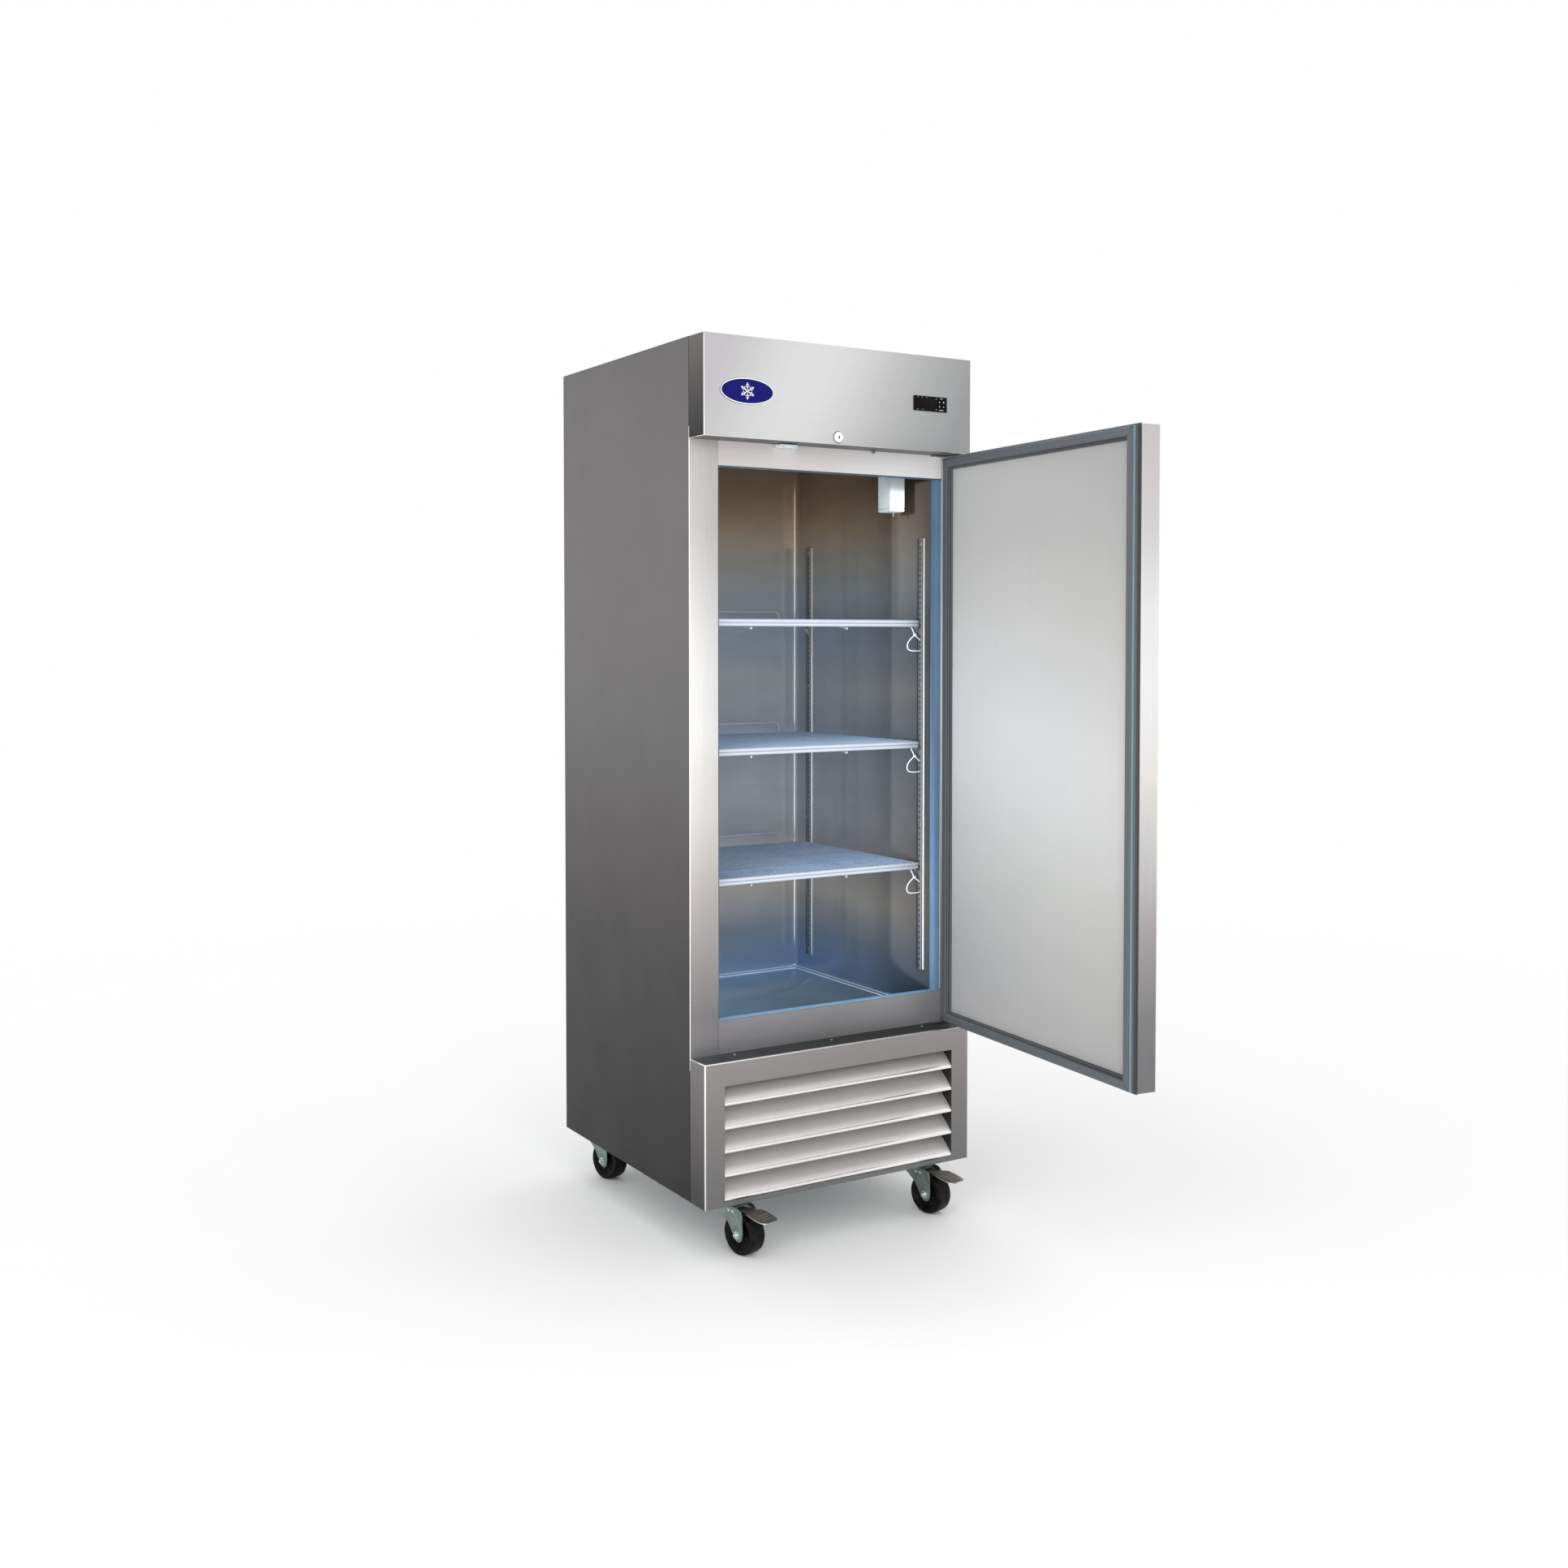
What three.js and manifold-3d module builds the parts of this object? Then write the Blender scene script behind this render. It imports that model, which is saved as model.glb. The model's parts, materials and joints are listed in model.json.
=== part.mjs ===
// Reach-in refrigerator: one solid door, three wire shelves, condensing unit in the base, four casters.
// Millimetres, +Z up, +X to the right as seen from the front, the front faces -Y.
// The origin is the middle of the base pan's underside. The door stands open, as it is loaded.
import * as THREE from 'three';
import { mergeVertices } from 'three/addons/utils/BufferGeometryUtils.js';
import Module from 'manifold-3d';

const wasm = await Module();
wasm.setup();

// Cabinet
const WIDTH = 729;
const DEPTH = 741;
const HEIGHT = 1928;
const PROJECTION = 68;
const SHEET = 1.2;
const GAP = 0.3;
const HALF = WIDTH / 2;
const FRONT_Y = -DEPTH / 2;
const REAR_Y = DEPTH / 2;
const FACE_Y = FRONT_Y + PROJECTION;
const HEADER_BOTTOM = 1703;
const LOUVER_TOP = 324;
const MACHINE_TOP = 296;

// Face frame and cavity
const FRAME_SHEET = 1.5;
const OPENING = { left: -291.5, right: 330, bottom: 400, top: 1648 };
const CAVITY = { left: -301, right: 312, floor: 350, ceiling: 1880, rear: REAR_Y - 38, cove: 14 };
const LINER_SHEET = 1.5;
const JAMB_DEPTH = 20;
const STRIP_SHEET = 2;

// Shelves and pilasters
const SHELF_LEVELS = [1298, 1001, 703];
const SHELF = { left: -288, right: 299, front: FACE_Y + 50, rear: FACE_Y + 576, halfHeight: 9, deck: 5, bar: 6 };
const BACKSTOP = { left: -205, right: 216, rise: 38 };
const PILASTER = { width: 22, depth: 6, top: 1506, clip: 12 };
const PILASTER_ROWS = { front: { y: FACE_Y + 54, bottom: 446 }, rear: { y: FACE_Y + 564, bottom: 400 } };

// Door
const DOOR = { half: 362.5, bottom: 331, top: 1697, thickness: 48 };
const OPEN_ANGLE = 85.4;
const PIVOT = { x: 350, y: FRONT_Y + 14 };
const GASKET = { inset: 6, width: 22, start: 48.3, end: 66.5 };
const HANDLE = { left: -344, right: -284, bottom: 905, top: 1205, depth: 28 };
const PIN_RADIUS = 5.5;
const PIN_CLEARANCE = 0.7;

// Controls
const BADGE = { x: -256, z: 1806, width: 135, height: 55, thick: 2.2 };
const CONTROLLER = { left: 197, right: 292, bottom: 1797, top: 1832, bezel: 3 };
const KEY = { width: 8, height: 6, columns: [269, 281], rows: [1820, 1809], proud: 0.8 };
const LOCK = { x: -15, z: 1720, flange: 12, tube: 9.5, barrel: 8 };
const SWITCH = { left: -148, right: -90, bottom: 1692.5, top: HEADER_BOTTOM - GAP };

// Cold unit under the ceiling, lamp and machine compartment
const EVAPORATOR = { half: 270, front: FACE_Y + 60, rear: FACE_Y + 560, bottom: 1728 };
const LAMP = { left: 214, right: 258, front: FACE_Y + 50, rear: FACE_Y + 105, bottom: 1568 };
const FAN_HUB = 22;

// Casters
const WHEEL = { radius: 47, half: 20, bore: 5.6 };
const CASTER_DROP = 122;
const AXLE_RADIUS = 5;
const TRAIL = 38;
const SWIVEL_REST = 14;
const CASTERS = [
  { name: 'front_left', x: -260, y: FACE_Y - 9, brake: true },
  { name: 'front_right', x: 260, y: FACE_Y - 9, brake: true },
  { name: 'rear_left', x: -290, y: FACE_Y + 628, brake: false },
  { name: 'rear_right', x: 290, y: FACE_Y + 628, brake: false },
];

const root = new THREE.Group();

function finish(color, roughness, metalness) {
  return { color, roughness, metalness };
}

const STEEL = finish(0xc4c4c4, 0.32, 1);
const DARK_STEEL = finish(0x6f6c6b, 0.38, 1);
const GALVANISED = finish(0x9aa5a3, 0.5, 0.9);
const CHROME = finish(0xd8d8d8, 0.15, 1);
const WHITE_COAT = finish(0xe8ebef, 0.4, 0);
const GREY_RUBBER = finish(0x5f6668, 0.6, 0);
const BLACK_PLASTIC = finish(0x17181a, 0.4, 0);
const WHITE_PLASTIC = finish(0xdfe6ea, 0.35, 0);
const BLUE_PLASTIC = finish(0x5b86ad, 0.45, 0);
const TYRE_BLACK = finish(0x141414, 0.55, 0);
const FOAM = finish(0xd9c98f, 0.9, 0);
const COPPER = finish(0xb87333, 0.35, 1);
const BLACK_ENAMEL = finish(0x1c1c1e, 0.35, 0.2);

// A closed solid from a three.js geometry
function solid(geometry) {
  const plain = geometry.clone();
  plain.deleteAttribute('normal');
  plain.deleteAttribute('uv');
  const merged = mergeVertices(plain, 1e-4);
  return new wasm.Manifold(new wasm.Mesh({
    numProp: 3,
    vertProperties: new Float32Array(merged.attributes.position.array),
    triVerts: new Uint32Array(merged.index.array),
  }));
}

function box(x, y, z) {
  const geometry = new THREE.BoxGeometry(x[1] - x[0], y[1] - y[0], z[1] - z[0]);
  geometry.translate((x[0] + x[1]) / 2, (y[0] + y[1]) / 2, (z[0] + z[1]) / 2);
  return solid(geometry);
}

// A round bar along an axis from one end to the other; centre gives the other two coordinates in order
function bar(axis, radius, ends, centre, sides = 24) {
  const geometry = new THREE.CylinderGeometry(radius, radius, ends[1] - ends[0], sides);
  const middle = (ends[0] + ends[1]) / 2;
  if (axis === 'x') {
    geometry.rotateZ(-Math.PI / 2);
    geometry.translate(middle, centre[0], centre[1]);
  } else if (axis === 'y') {
    geometry.translate(centre[0], middle, centre[1]);
  } else {
    geometry.rotateX(Math.PI / 2);
    geometry.translate(centre[0], centre[1], middle);
  }
  return solid(geometry);
}

function outline(points) {
  return new THREE.Shape(points.map(([a, b]) => new THREE.Vector2(a, b)));
}

// Drawn in plan, raised along Z
function prismZ(shape, z, steps = 6) {
  const geometry = new THREE.ExtrudeGeometry(shape, { depth: z[1] - z[0], bevelEnabled: false, curveSegments: steps });
  geometry.translate(0, 0, z[0]);
  return solid(geometry);
}

// Drawn as seen from the front (x, z), running along Y
function prismY(shape, y, steps = 6) {
  const geometry = new THREE.ExtrudeGeometry(shape, { depth: y[1] - y[0], bevelEnabled: false, curveSegments: steps });
  geometry.rotateX(Math.PI / 2);
  geometry.translate(0, y[1], 0);
  return solid(geometry);
}

// Drawn as seen from the right (y, z), running along X
function prismX(shape, x) {
  const geometry = new THREE.ExtrudeGeometry(shape, { depth: x[1] - x[0], bevelEnabled: false });
  geometry.rotateX(Math.PI / 2);
  geometry.rotateZ(Math.PI / 2);
  geometry.translate(x[0], 0, 0);
  return solid(geometry);
}

function roundedRect(x0, x1, z0, z1, radius) {
  const shape = new THREE.Shape();
  shape.moveTo(x0 + radius, z0);
  shape.lineTo(x1 - radius, z0);
  shape.absarc(x1 - radius, z0 + radius, radius, -Math.PI / 2, 0, false);
  shape.lineTo(x1, z1 - radius);
  shape.absarc(x1 - radius, z1 - radius, radius, 0, Math.PI / 2, false);
  shape.lineTo(x0 + radius, z1);
  shape.absarc(x0 + radius, z1 - radius, radius, Math.PI / 2, Math.PI, false);
  shape.lineTo(x0, z0 + radius);
  shape.absarc(x0 + radius, z0 + radius, radius, Math.PI, 1.5 * Math.PI, false);
  return shape;
}

// Turned about Z through (x, y); the profile is a list of [radius, z] that starts and ends on the axis
function turned(profile, x, y, sides = 24) {
  const points = profile.map(([r, z]) => new THREE.Vector2(r, z));
  const geometry = new THREE.LatheGeometry(points, sides);
  geometry.rotateX(Math.PI / 2);
  geometry.translate(x, y, 0);
  return solid(geometry);
}

function join(first, ...others) {
  return others.reduce((sum, other) => sum.add(other), first);
}

function cut(body, ...tools) {
  return tools.reduce((left, tool) => left.subtract(tool), body);
}

function place(name, body, look, parent = root) {
  const made = body.getMesh();
  const geometry = new THREE.BufferGeometry();
  geometry.setAttribute('position', new THREE.BufferAttribute(new Float32Array(made.vertProperties), 3));
  geometry.setIndex(new THREE.BufferAttribute(new Uint32Array(made.triVerts), 1));
  const mesh = new THREE.Mesh(geometry, new THREE.MeshStandardMaterial(look));
  mesh.name = name;
  parent.add(mesh);
}

// Side panel: a sheet with a flange folded in at the rear
function sidePanel(side) {
  const flange = 18;
  const front = FACE_Y + FRAME_SHEET + GAP;
  const points = [
    [HALF, front], [HALF, REAR_Y], [HALF - flange, REAR_Y], [HALF - flange, REAR_Y - SHEET],
    [HALF - SHEET, REAR_Y - SHEET], [HALF - SHEET, front],
  ];
  const panel = prismZ(outline(points), [0, HEIGHT - SHEET - GAP]);
  return side < 0 ? panel.mirror([1, 0, 0]) : panel;
}

function topPanel() {
  return box([-HALF, HALF], [FACE_Y + GAP, REAR_Y], [HEIGHT - SHEET, HEIGHT]);
}

// Back panel with two banks of air slots for the machine compartment
function backPanel() {
  const side = HALF - 18 - GAP;
  const slot = { width: 190, height: 7, pitch: 24, rows: 8, lowest: 52 };
  let panel = box([-side, side], [REAR_Y - SHEET, REAR_Y], [GAP, HEIGHT - SHEET - GAP]);
  for (let row = 0; row < slot.rows; row += 1) {
    const z = slot.lowest + row * slot.pitch;
    for (const x of [-120, 120]) {
      const hole = box([x - slot.width / 2, x + slot.width / 2], [REAR_Y - 5, REAR_Y + 5], [z, z + slot.height]);
      panel = cut(panel, hole);
    }
  }
  return panel;
}

function basePan() {
  const side = HALF - SHEET - GAP;
  const front = FRONT_Y + SHEET + GAP;
  const rear = REAR_Y - SHEET - GAP;
  const rim = 9;
  const floor = 2;
  const pan = box([-side, side], [front, rear], [0, rim]);
  return cut(pan, box([-side + floor, side - floor], [front + floor, rear - floor], [floor, rim + 1]));
}

// Face frame round the opening; it runs a little way behind the header and the louver box
function frontFrame() {
  const plate = box([-HALF, HALF], [FACE_Y, FACE_Y + FRAME_SHEET], [MACHINE_TOP, HEADER_BOTTOM + 27]);
  const hole = box([OPENING.left, OPENING.right], [FACE_Y - 5, FACE_Y + 5], [OPENING.bottom, OPENING.top]);
  return cut(plate, hole);
}

// Plastic strip that lines the opening; on the hinge side it is wide and faces the front
function breakerStrip() {
  const y = [FACE_Y + 1, FACE_Y + JAMB_DEPTH];
  const outer = box([OPENING.left + GAP, OPENING.right - GAP], y, [OPENING.bottom + GAP, OPENING.top - GAP]);
  const inner = box(
    [OPENING.left + GAP + STRIP_SHEET, CAVITY.right],
    [y[0] - 1, y[1] + 1],
    [OPENING.bottom + GAP + STRIP_SHEET, OPENING.top - GAP - STRIP_SHEET],
  );
  return cut(outer, inner);
}

function interiorLiner() {
  const front = FACE_Y + JAMB_DEPTH + GAP;
  const outer = box(
    [CAVITY.left - LINER_SHEET, CAVITY.right + LINER_SHEET],
    [front, CAVITY.rear + LINER_SHEET],
    [CAVITY.floor - LINER_SHEET, CAVITY.ceiling + LINER_SHEET],
  );
  const inside = roundedRect(CAVITY.left, CAVITY.right, CAVITY.floor, CAVITY.ceiling, CAVITY.cove);
  const space = prismY(inside, [front + LINER_SHEET, CAVITY.rear], 4);
  const mouth = box([OPENING.left, CAVITY.right], [front - 1, front + 5], [OPENING.bottom, OPENING.top]);
  return cut(outer, space, mouth);
}

// Foamed insulation between the outer sheets and the liner
function insulation() {
  const side = HALF - SHEET - GAP;
  const front = FACE_Y + FRAME_SHEET + GAP;
  const body = box([-side, side], [front, REAR_Y - SHEET - GAP], [MACHINE_TOP + 4, HEIGHT - SHEET - GAP]);
  const clear = LINER_SHEET + GAP;
  const liner = box(
    [CAVITY.left - clear, CAVITY.right + clear],
    [FACE_Y + JAMB_DEPTH, CAVITY.rear + clear],
    [CAVITY.floor - clear, CAVITY.ceiling + clear],
  );
  const mouth = box([OPENING.left, OPENING.right], [front - 1, FACE_Y + JAMB_DEPTH + GAP], [OPENING.bottom, OPENING.top]);
  return cut(body, liner, mouth);
}

// A folded sheet box that is open towards the cabinet; its floor may be left out
function frontBox(z, floor) {
  const outer = box([-HALF, HALF], [FRONT_Y, FACE_Y - GAP], z);
  const inner = box(
    [-HALF + SHEET, HALF - SHEET], [FRONT_Y + SHEET, FACE_Y + 1], [z[0] + floor, z[1] - SHEET],
  );
  return cut(outer, inner);
}

const BOLT = { half: 5, front: FRONT_Y + 21, rear: FRONT_Y + 26, travel: 12 };

function boltSlot(clearance, z) {
  return box(
    [LOCK.x - BOLT.half - clearance, LOCK.x + BOLT.half + clearance],
    [BOLT.front - clearance, BOLT.rear + clearance],
    z,
  );
}

const CONTROLLER_BODY = { inset: 4, depth: 60 };

function controllerCutOut(clearance, y) {
  const inset = CONTROLLER_BODY.inset - clearance;
  return box(
    [CONTROLLER.left + inset, CONTROLLER.right - inset], y, [CONTROLLER.bottom + inset, CONTROLLER.top - inset],
  );
}

function headerPanel() {
  const shell = frontBox([HEADER_BOTTOM, HEIGHT], SHEET);
  const lockHole = bar('y', LOCK.tube + 0.4, [FRONT_Y - 2, FRONT_Y + 4], [LOCK.x, LOCK.z]);
  const cutOut = controllerCutOut(0.5, [FRONT_Y - 2, FRONT_Y + 4]);
  return cut(shell, lockHole, cutOut, boltSlot(0.6, [HEADER_BOTTOM - 1, HEADER_BOTTOM + SHEET + 1]));
}

// Louver box: the front is pierced and five blades rise from the front edge towards the back
const LOUVER = { half: 314, bottom: 12, top: 270, blades: 5, pitch: 53.2, reach: 40, rise: 37, sheet: 1.5 };

function louverBlade(z) {
  const dy = LOUVER.reach;
  const dz = LOUVER.rise;
  const front = FRONT_Y + 0.4;
  const length = Math.hypot(dy, dz);
  const across = [-dz / length * LOUVER.sheet, dy / length * LOUVER.sheet];
  const hem = 6;
  const points = [
    [front, z], [front + LOUVER.sheet, z - hem], [front + dy, z + dz],
    [front + dy + across[0], z + dz + across[1]], [front, z + 2.4],
  ];
  return prismX(outline(points), [-LOUVER.half - 1, LOUVER.half + 1]);
}

function louverGrille() {
  const shell = frontBox([0, LOUVER_TOP], -1);
  const opening = box([-LOUVER.half, LOUVER.half], [FRONT_Y - 2, FRONT_Y + 4], [LOUVER.bottom, LOUVER.top]);
  let grille = cut(shell, opening);
  for (const side of [-1, 1]) {
    const inner = side * LOUVER.half;
    const outer = side * (LOUVER.half + SHEET);
    const x = [Math.min(inner, outer), Math.max(inner, outer)];
    grille = join(grille, box(x, [FRONT_Y + SHEET / 2, FRONT_Y + 50], [LOUVER.bottom, LOUVER.top]));
  }
  for (let n = 0; n < LOUVER.blades; n += 1) {
    grille = join(grille, louverBlade(LOUVER.bottom + 6.5 + n * LOUVER.pitch));
  }
  return grille;
}

function shell() {
  place('left_side_panel', sidePanel(-1), DARK_STEEL);
  place('right_side_panel', sidePanel(1), DARK_STEEL);
  place('top_panel', topPanel(), GALVANISED);
  place('back_panel', backPanel(), GALVANISED);
  place('base_pan', basePan(), GALVANISED);
  place('front_frame', frontFrame(), STEEL);
  place('breaker_strip', breakerStrip(), BLUE_PLASTIC);
  place('interior_liner', interiorLiner(), STEEL);
  place('cabinet_insulation', insulation(), FOAM);
  place('header_panel', headerPanel(), STEEL);
  place('louver_grille', louverGrille(), STEEL);
}

function badge() {
  const shape = new THREE.Shape();
  shape.absellipse(BADGE.x, BADGE.z, BADGE.width / 2, BADGE.height / 2, 0, 2 * Math.PI, false);
  return prismY(shape, [FRONT_Y - GAP - BADGE.thick, FRONT_Y - GAP], 40);
}

function keyBox(x, z, clearance, y) {
  const halfWidth = KEY.width / 2 + clearance;
  const halfHeight = KEY.height / 2 + clearance;
  return box([x - halfWidth, x + halfWidth], y, [z - halfHeight, z + halfHeight]);
}

function controllerCase() {
  const face = FRONT_Y - GAP - CONTROLLER.bezel;
  const bezel = box(
    [CONTROLLER.left, CONTROLLER.right], [face, FRONT_Y - GAP], [CONTROLLER.bottom, CONTROLLER.top],
  );
  let body = join(bezel, controllerCutOut(0, [FRONT_Y - GAP - 1, FRONT_Y + CONTROLLER_BODY.depth]));
  for (const x of KEY.columns) {
    for (const z of KEY.rows) {
      body = cut(body, keyBox(x, z, 0.35, [face - 1, face + CONTROLLER.bezel]));
    }
  }
  return body;
}

function lockHousing() {
  const flange = bar('y', LOCK.flange, [FRONT_Y - GAP - 3, FRONT_Y - GAP], [LOCK.x, LOCK.z]);
  const tube = bar('y', LOCK.tube, [FRONT_Y - GAP - 1, FRONT_Y + 18], [LOCK.x, LOCK.z]);
  const bore = bar('y', LOCK.barrel + 0.3, [FRONT_Y - 10, FRONT_Y + 30], [LOCK.x, LOCK.z]);
  return cut(join(flange, tube), bore);
}

function lockBarrel() {
  const barrel = bar('y', LOCK.barrel, [FRONT_Y - 4, FRONT_Y + 20], [LOCK.x, LOCK.z]);
  const keyway = box([LOCK.x - 0.8, LOCK.x + 0.8], [FRONT_Y - 5, FRONT_Y + 1], [LOCK.z - 4.5, LOCK.z + 4.5]);
  return cut(barrel, keyway);
}

const PLUNGER = { left: -128, right: -110, bottom: 1694.5, top: 1701, tip: FACE_Y - 18.5, heel: FACE_Y - 8 };

function switchBody() {
  const body = box([SWITCH.left, SWITCH.right], [FACE_Y - 13, FACE_Y - GAP], [SWITCH.bottom, SWITCH.top]);
  const pocket = box(
    [PLUNGER.left - 0.4, PLUNGER.right + 0.4], [FACE_Y - 20, FACE_Y - 4],
    [PLUNGER.bottom - 0.4, PLUNGER.top + 0.4],
  );
  return cut(body, pocket);
}

function controls() {
  place('badge', badge(), BLUE_PLASTIC);
  place('controller', controllerCase(), BLACK_PLASTIC);
  const face = FRONT_Y - GAP - CONTROLLER.bezel;
  const names = [['key_up', 'key_down'], ['key_set', 'key_defrost']];
  KEY.columns.forEach((x, column) => {
    KEY.rows.forEach((z, row) => {
      place(names[column][row], keyBox(x, z, 0, [face - KEY.proud, face + 1.6]), BLACK_PLASTIC);
    });
  });
  place('lock_housing', lockHousing(), CHROME);
  place('lock_barrel', lockBarrel(), CHROME);
  place('lock_bolt', boltSlot(0, [HEADER_BOTTOM + 1.5, HEADER_BOTTOM + 27]), GALVANISED);
  place('door_switch', switchBody(), WHITE_PLASTIC);
  const plunger = box(
    [PLUNGER.left, PLUNGER.right], [PLUNGER.tip, PLUNGER.heel], [PLUNGER.bottom, PLUNGER.top],
  );
  place('switch_plunger', plunger, WHITE_PLASTIC);
}

// Slotted upright: a channel that opens to the wall, with three clips hooked into it
function pilaster(row, side) {
  const wall = CAVITY.right - GAP;
  const inner = wall - PILASTER.depth;
  const near = row.y - PILASTER.width / 2;
  const far = row.y + PILASTER.width / 2;
  const points = [
    [wall, near], [wall, near + SHEET], [inner + SHEET, near + SHEET], [inner + SHEET, far - SHEET],
    [wall, far - SHEET], [wall, far], [inner, far], [inner, near],
  ];
  let body = prismZ(outline(points), [row.bottom, PILASTER.top]);
  for (const level of SHELF_LEVELS) {
    const top = level - SHELF.halfHeight - GAP;
    const clip = box([inner - PILASTER.clip, inner + SHEET / 2], [row.y - 6, row.y + 6], [top - 4, top]);
    const brace = box([inner - 3, inner + SHEET / 2], [row.y - 6, row.y + 6], [top - 16, top - 3]);
    body = join(body, clip, brace);
  }
  return side < 0 ? body.mirror([1, 0, 0]).translate([CAVITY.left + CAVITY.right, 0, 0]) : body;
}

function shelf(level) {
  const { left, right, front, rear, halfHeight, deck, bar: rail } = SHELF;
  const z = [level - halfHeight, level + halfHeight];
  let body = box([left, right], [front, rear], z);
  body = cut(body, box([left + rail, right - rail], [front + rail, rear - rail], [z[0] - 1, z[1] - deck]));
  const slots = 9;
  const pitch = (right - left - 2 * rail) / slots;
  for (let n = 0; n < slots; n += 1) {
    const start = left + rail + n * pitch + rail / 2;
    const slot = box([start, start + pitch - rail], [front + 2 * rail, rear - 2 * rail], [z[0], z[1] + 1]);
    body = cut(body, slot);
  }
  const stop = box([BACKSTOP.left, BACKSTOP.right], [rear - rail, rear], [level, level + BACKSTOP.rise]);
  return join(body, stop);
}

// Fan wheel about Z: a hub and pitched blades, standing on z
function fanWheel(radius, z, depth) {
  const blades = 5;
  let wheel = bar('z', FAN_HUB, [z, z + depth], [0, 0], 20);
  for (let n = 0; n < blades; n += 1) {
    const blade = new THREE.BoxGeometry(radius - FAN_HUB + 6, radius * 0.55, 1.6);
    blade.translate((radius + FAN_HUB - 6) / 2, 0, 0);
    blade.rotateX(0.42);
    blade.translate(0, 0, z + depth / 2);
    blade.rotateZ((2 * Math.PI * n) / blades);
    wheel = join(wheel, solid(blade));
  }
  return wheel.intersect(bar('z', radius, [z - 40, z + depth + 40], [0, 0], 40));
}

// Finned block: a comb of fins on a solid spine
function finnedBlock(x, y, z, fins) {
  const pitch = (x[1] - x[0]) / fins;
  let block = box(x, y, z);
  for (let n = 0; n < fins - 1; n += 1) {
    const left = x[0] + (n + 0.75) * pitch;
    block = cut(block, box([left, left + pitch / 2], [y[0] - 1, (y[0] + y[1]) / 2], [z[0] - 1, z[1] + 1]));
  }
  return block;
}

const EVAPORATOR_FAN = { radius: 84, y: FACE_Y + 190, bottom: EVAPORATOR.bottom + 12, depth: 30 };

function evaporatorHousing() {
  const { half, front, rear, bottom } = EVAPORATOR;
  const wall = 1.5;
  const top = CAVITY.ceiling - GAP;
  const shellBody = cut(
    box([-half, half], [front, rear], [bottom, top]),
    box([-half + wall, half - wall], [front + wall, rear - wall], [bottom + wall, top + 1]),
  );
  const fanHole = bar('z', EVAPORATOR_FAN.radius + 6, [bottom - 2, bottom + 4], [0, EVAPORATOR_FAN.y], 40);
  const outlet = box([-half + 30, half - 30], [rear - 5, rear + 5], [bottom + 30, top - 20]);
  return cut(shellBody, fanHole, outlet);
}

function lampCover() {
  const { left, right, front, rear, bottom } = LAMP;
  const wall = 1.5;
  const top = EVAPORATOR.bottom - GAP;
  return cut(
    box([left, right], [front, rear], [bottom, top]),
    box([left + wall, right - wall], [front + wall, rear - wall], [bottom + wall, top + 1]),
  );
}

function lampBulb() {
  const x = (LAMP.left + LAMP.right) / 2;
  const y = (LAMP.front + LAMP.rear) / 2;
  const top = EVAPORATOR.bottom - GAP;
  const low = LAMP.bottom + 42;
  const profile = [
    [0, low], [8, low + 2], [14, low + 10], [15, low + 24], [11, low + 42], [10, low + 56],
    [10, top - 20], [17, top - 20], [17, top], [0, top],
  ];
  return turned(profile, x, y, 16);
}

function coldUnit() {
  place('evaporator_housing', evaporatorHousing(), WHITE_COAT);
  const coilX = [-EVAPORATOR.half + 20, EVAPORATOR.half - 20];
  const coilZ = [EVAPORATOR.bottom + 8, CAVITY.ceiling - 12];
  place('evaporator_coil', finnedBlock(coilX, [EVAPORATOR.rear - 170, EVAPORATOR.rear - 60], coilZ, 24), GALVANISED);
  const fan = fanWheel(EVAPORATOR_FAN.radius, EVAPORATOR_FAN.bottom, EVAPORATOR_FAN.depth);
  place('evaporator_fan', fan.translate([0, EVAPORATOR_FAN.y, 0]), BLACK_PLASTIC);
  place('lamp_cover', lampCover(), WHITE_PLASTIC);
  place('lamp_bulb', lampBulb(), WHITE_PLASTIC);
}

const CONDENSER = { half: 205, front: FACE_Y - 8, rear: FACE_Y + 32, bottom: 24, top: 284 };
const CONDENSER_FAN = { radius: 98, x: 0, z: 152, front: FACE_Y + 46, depth: 28 };

function condenserShroud() {
  const { half, rear, bottom, top } = CONDENSER;
  const wall = 1.5;
  const front = rear + GAP;
  const back = front + 46;
  const shroud = cut(
    box([-half, half], [front, back], [bottom, top]),
    box([-half + wall, half - wall], [front - 1, back - wall], [bottom + wall, top - wall]),
  );
  const hole = bar('y', CONDENSER_FAN.radius + 5, [back - 5, back + 5], [CONDENSER_FAN.x, CONDENSER_FAN.z], 40);
  return cut(shroud, hole);
}

function compressor() {
  const x = -120;
  const y = FACE_Y + 330;
  const base = 24;
  const profile = [
    [0, base], [62, base], [78, base + 14], [82, base + 40], [82, base + 62], [86, base + 66], [86, base + 74],
    [82, base + 78], [80, base + 108], [66, base + 134], [36, base + 146], [0, base + 148],
  ];
  let body = turned(profile, x, y, 28);
  const plate = box([x - 105, x + 105], [y - 70, y + 70], [2 + GAP, 5]);
  const foot = box([x - 80, x + 80], [y - 30, y + 30], [4, base + 10]);
  body = join(body, foot, plate);
  return join(body, bar('x', 6, [x + 60, x + 230], [y - 30, base + 60], 10));
}

function powerInlet() {
  const x = -255;
  const z = 250;
  const y = REAR_Y + GAP;
  const body = box([x - 30, x + 30], [y, y + 8], [z - 22, z + 22]);
  const gland = bar('y', 9, [y + 7, y + 20], [x, z], 20);
  return cut(join(body, gland), bar('y', 4.5, [y + 4, y + 30], [x, z], 16));
}

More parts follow.
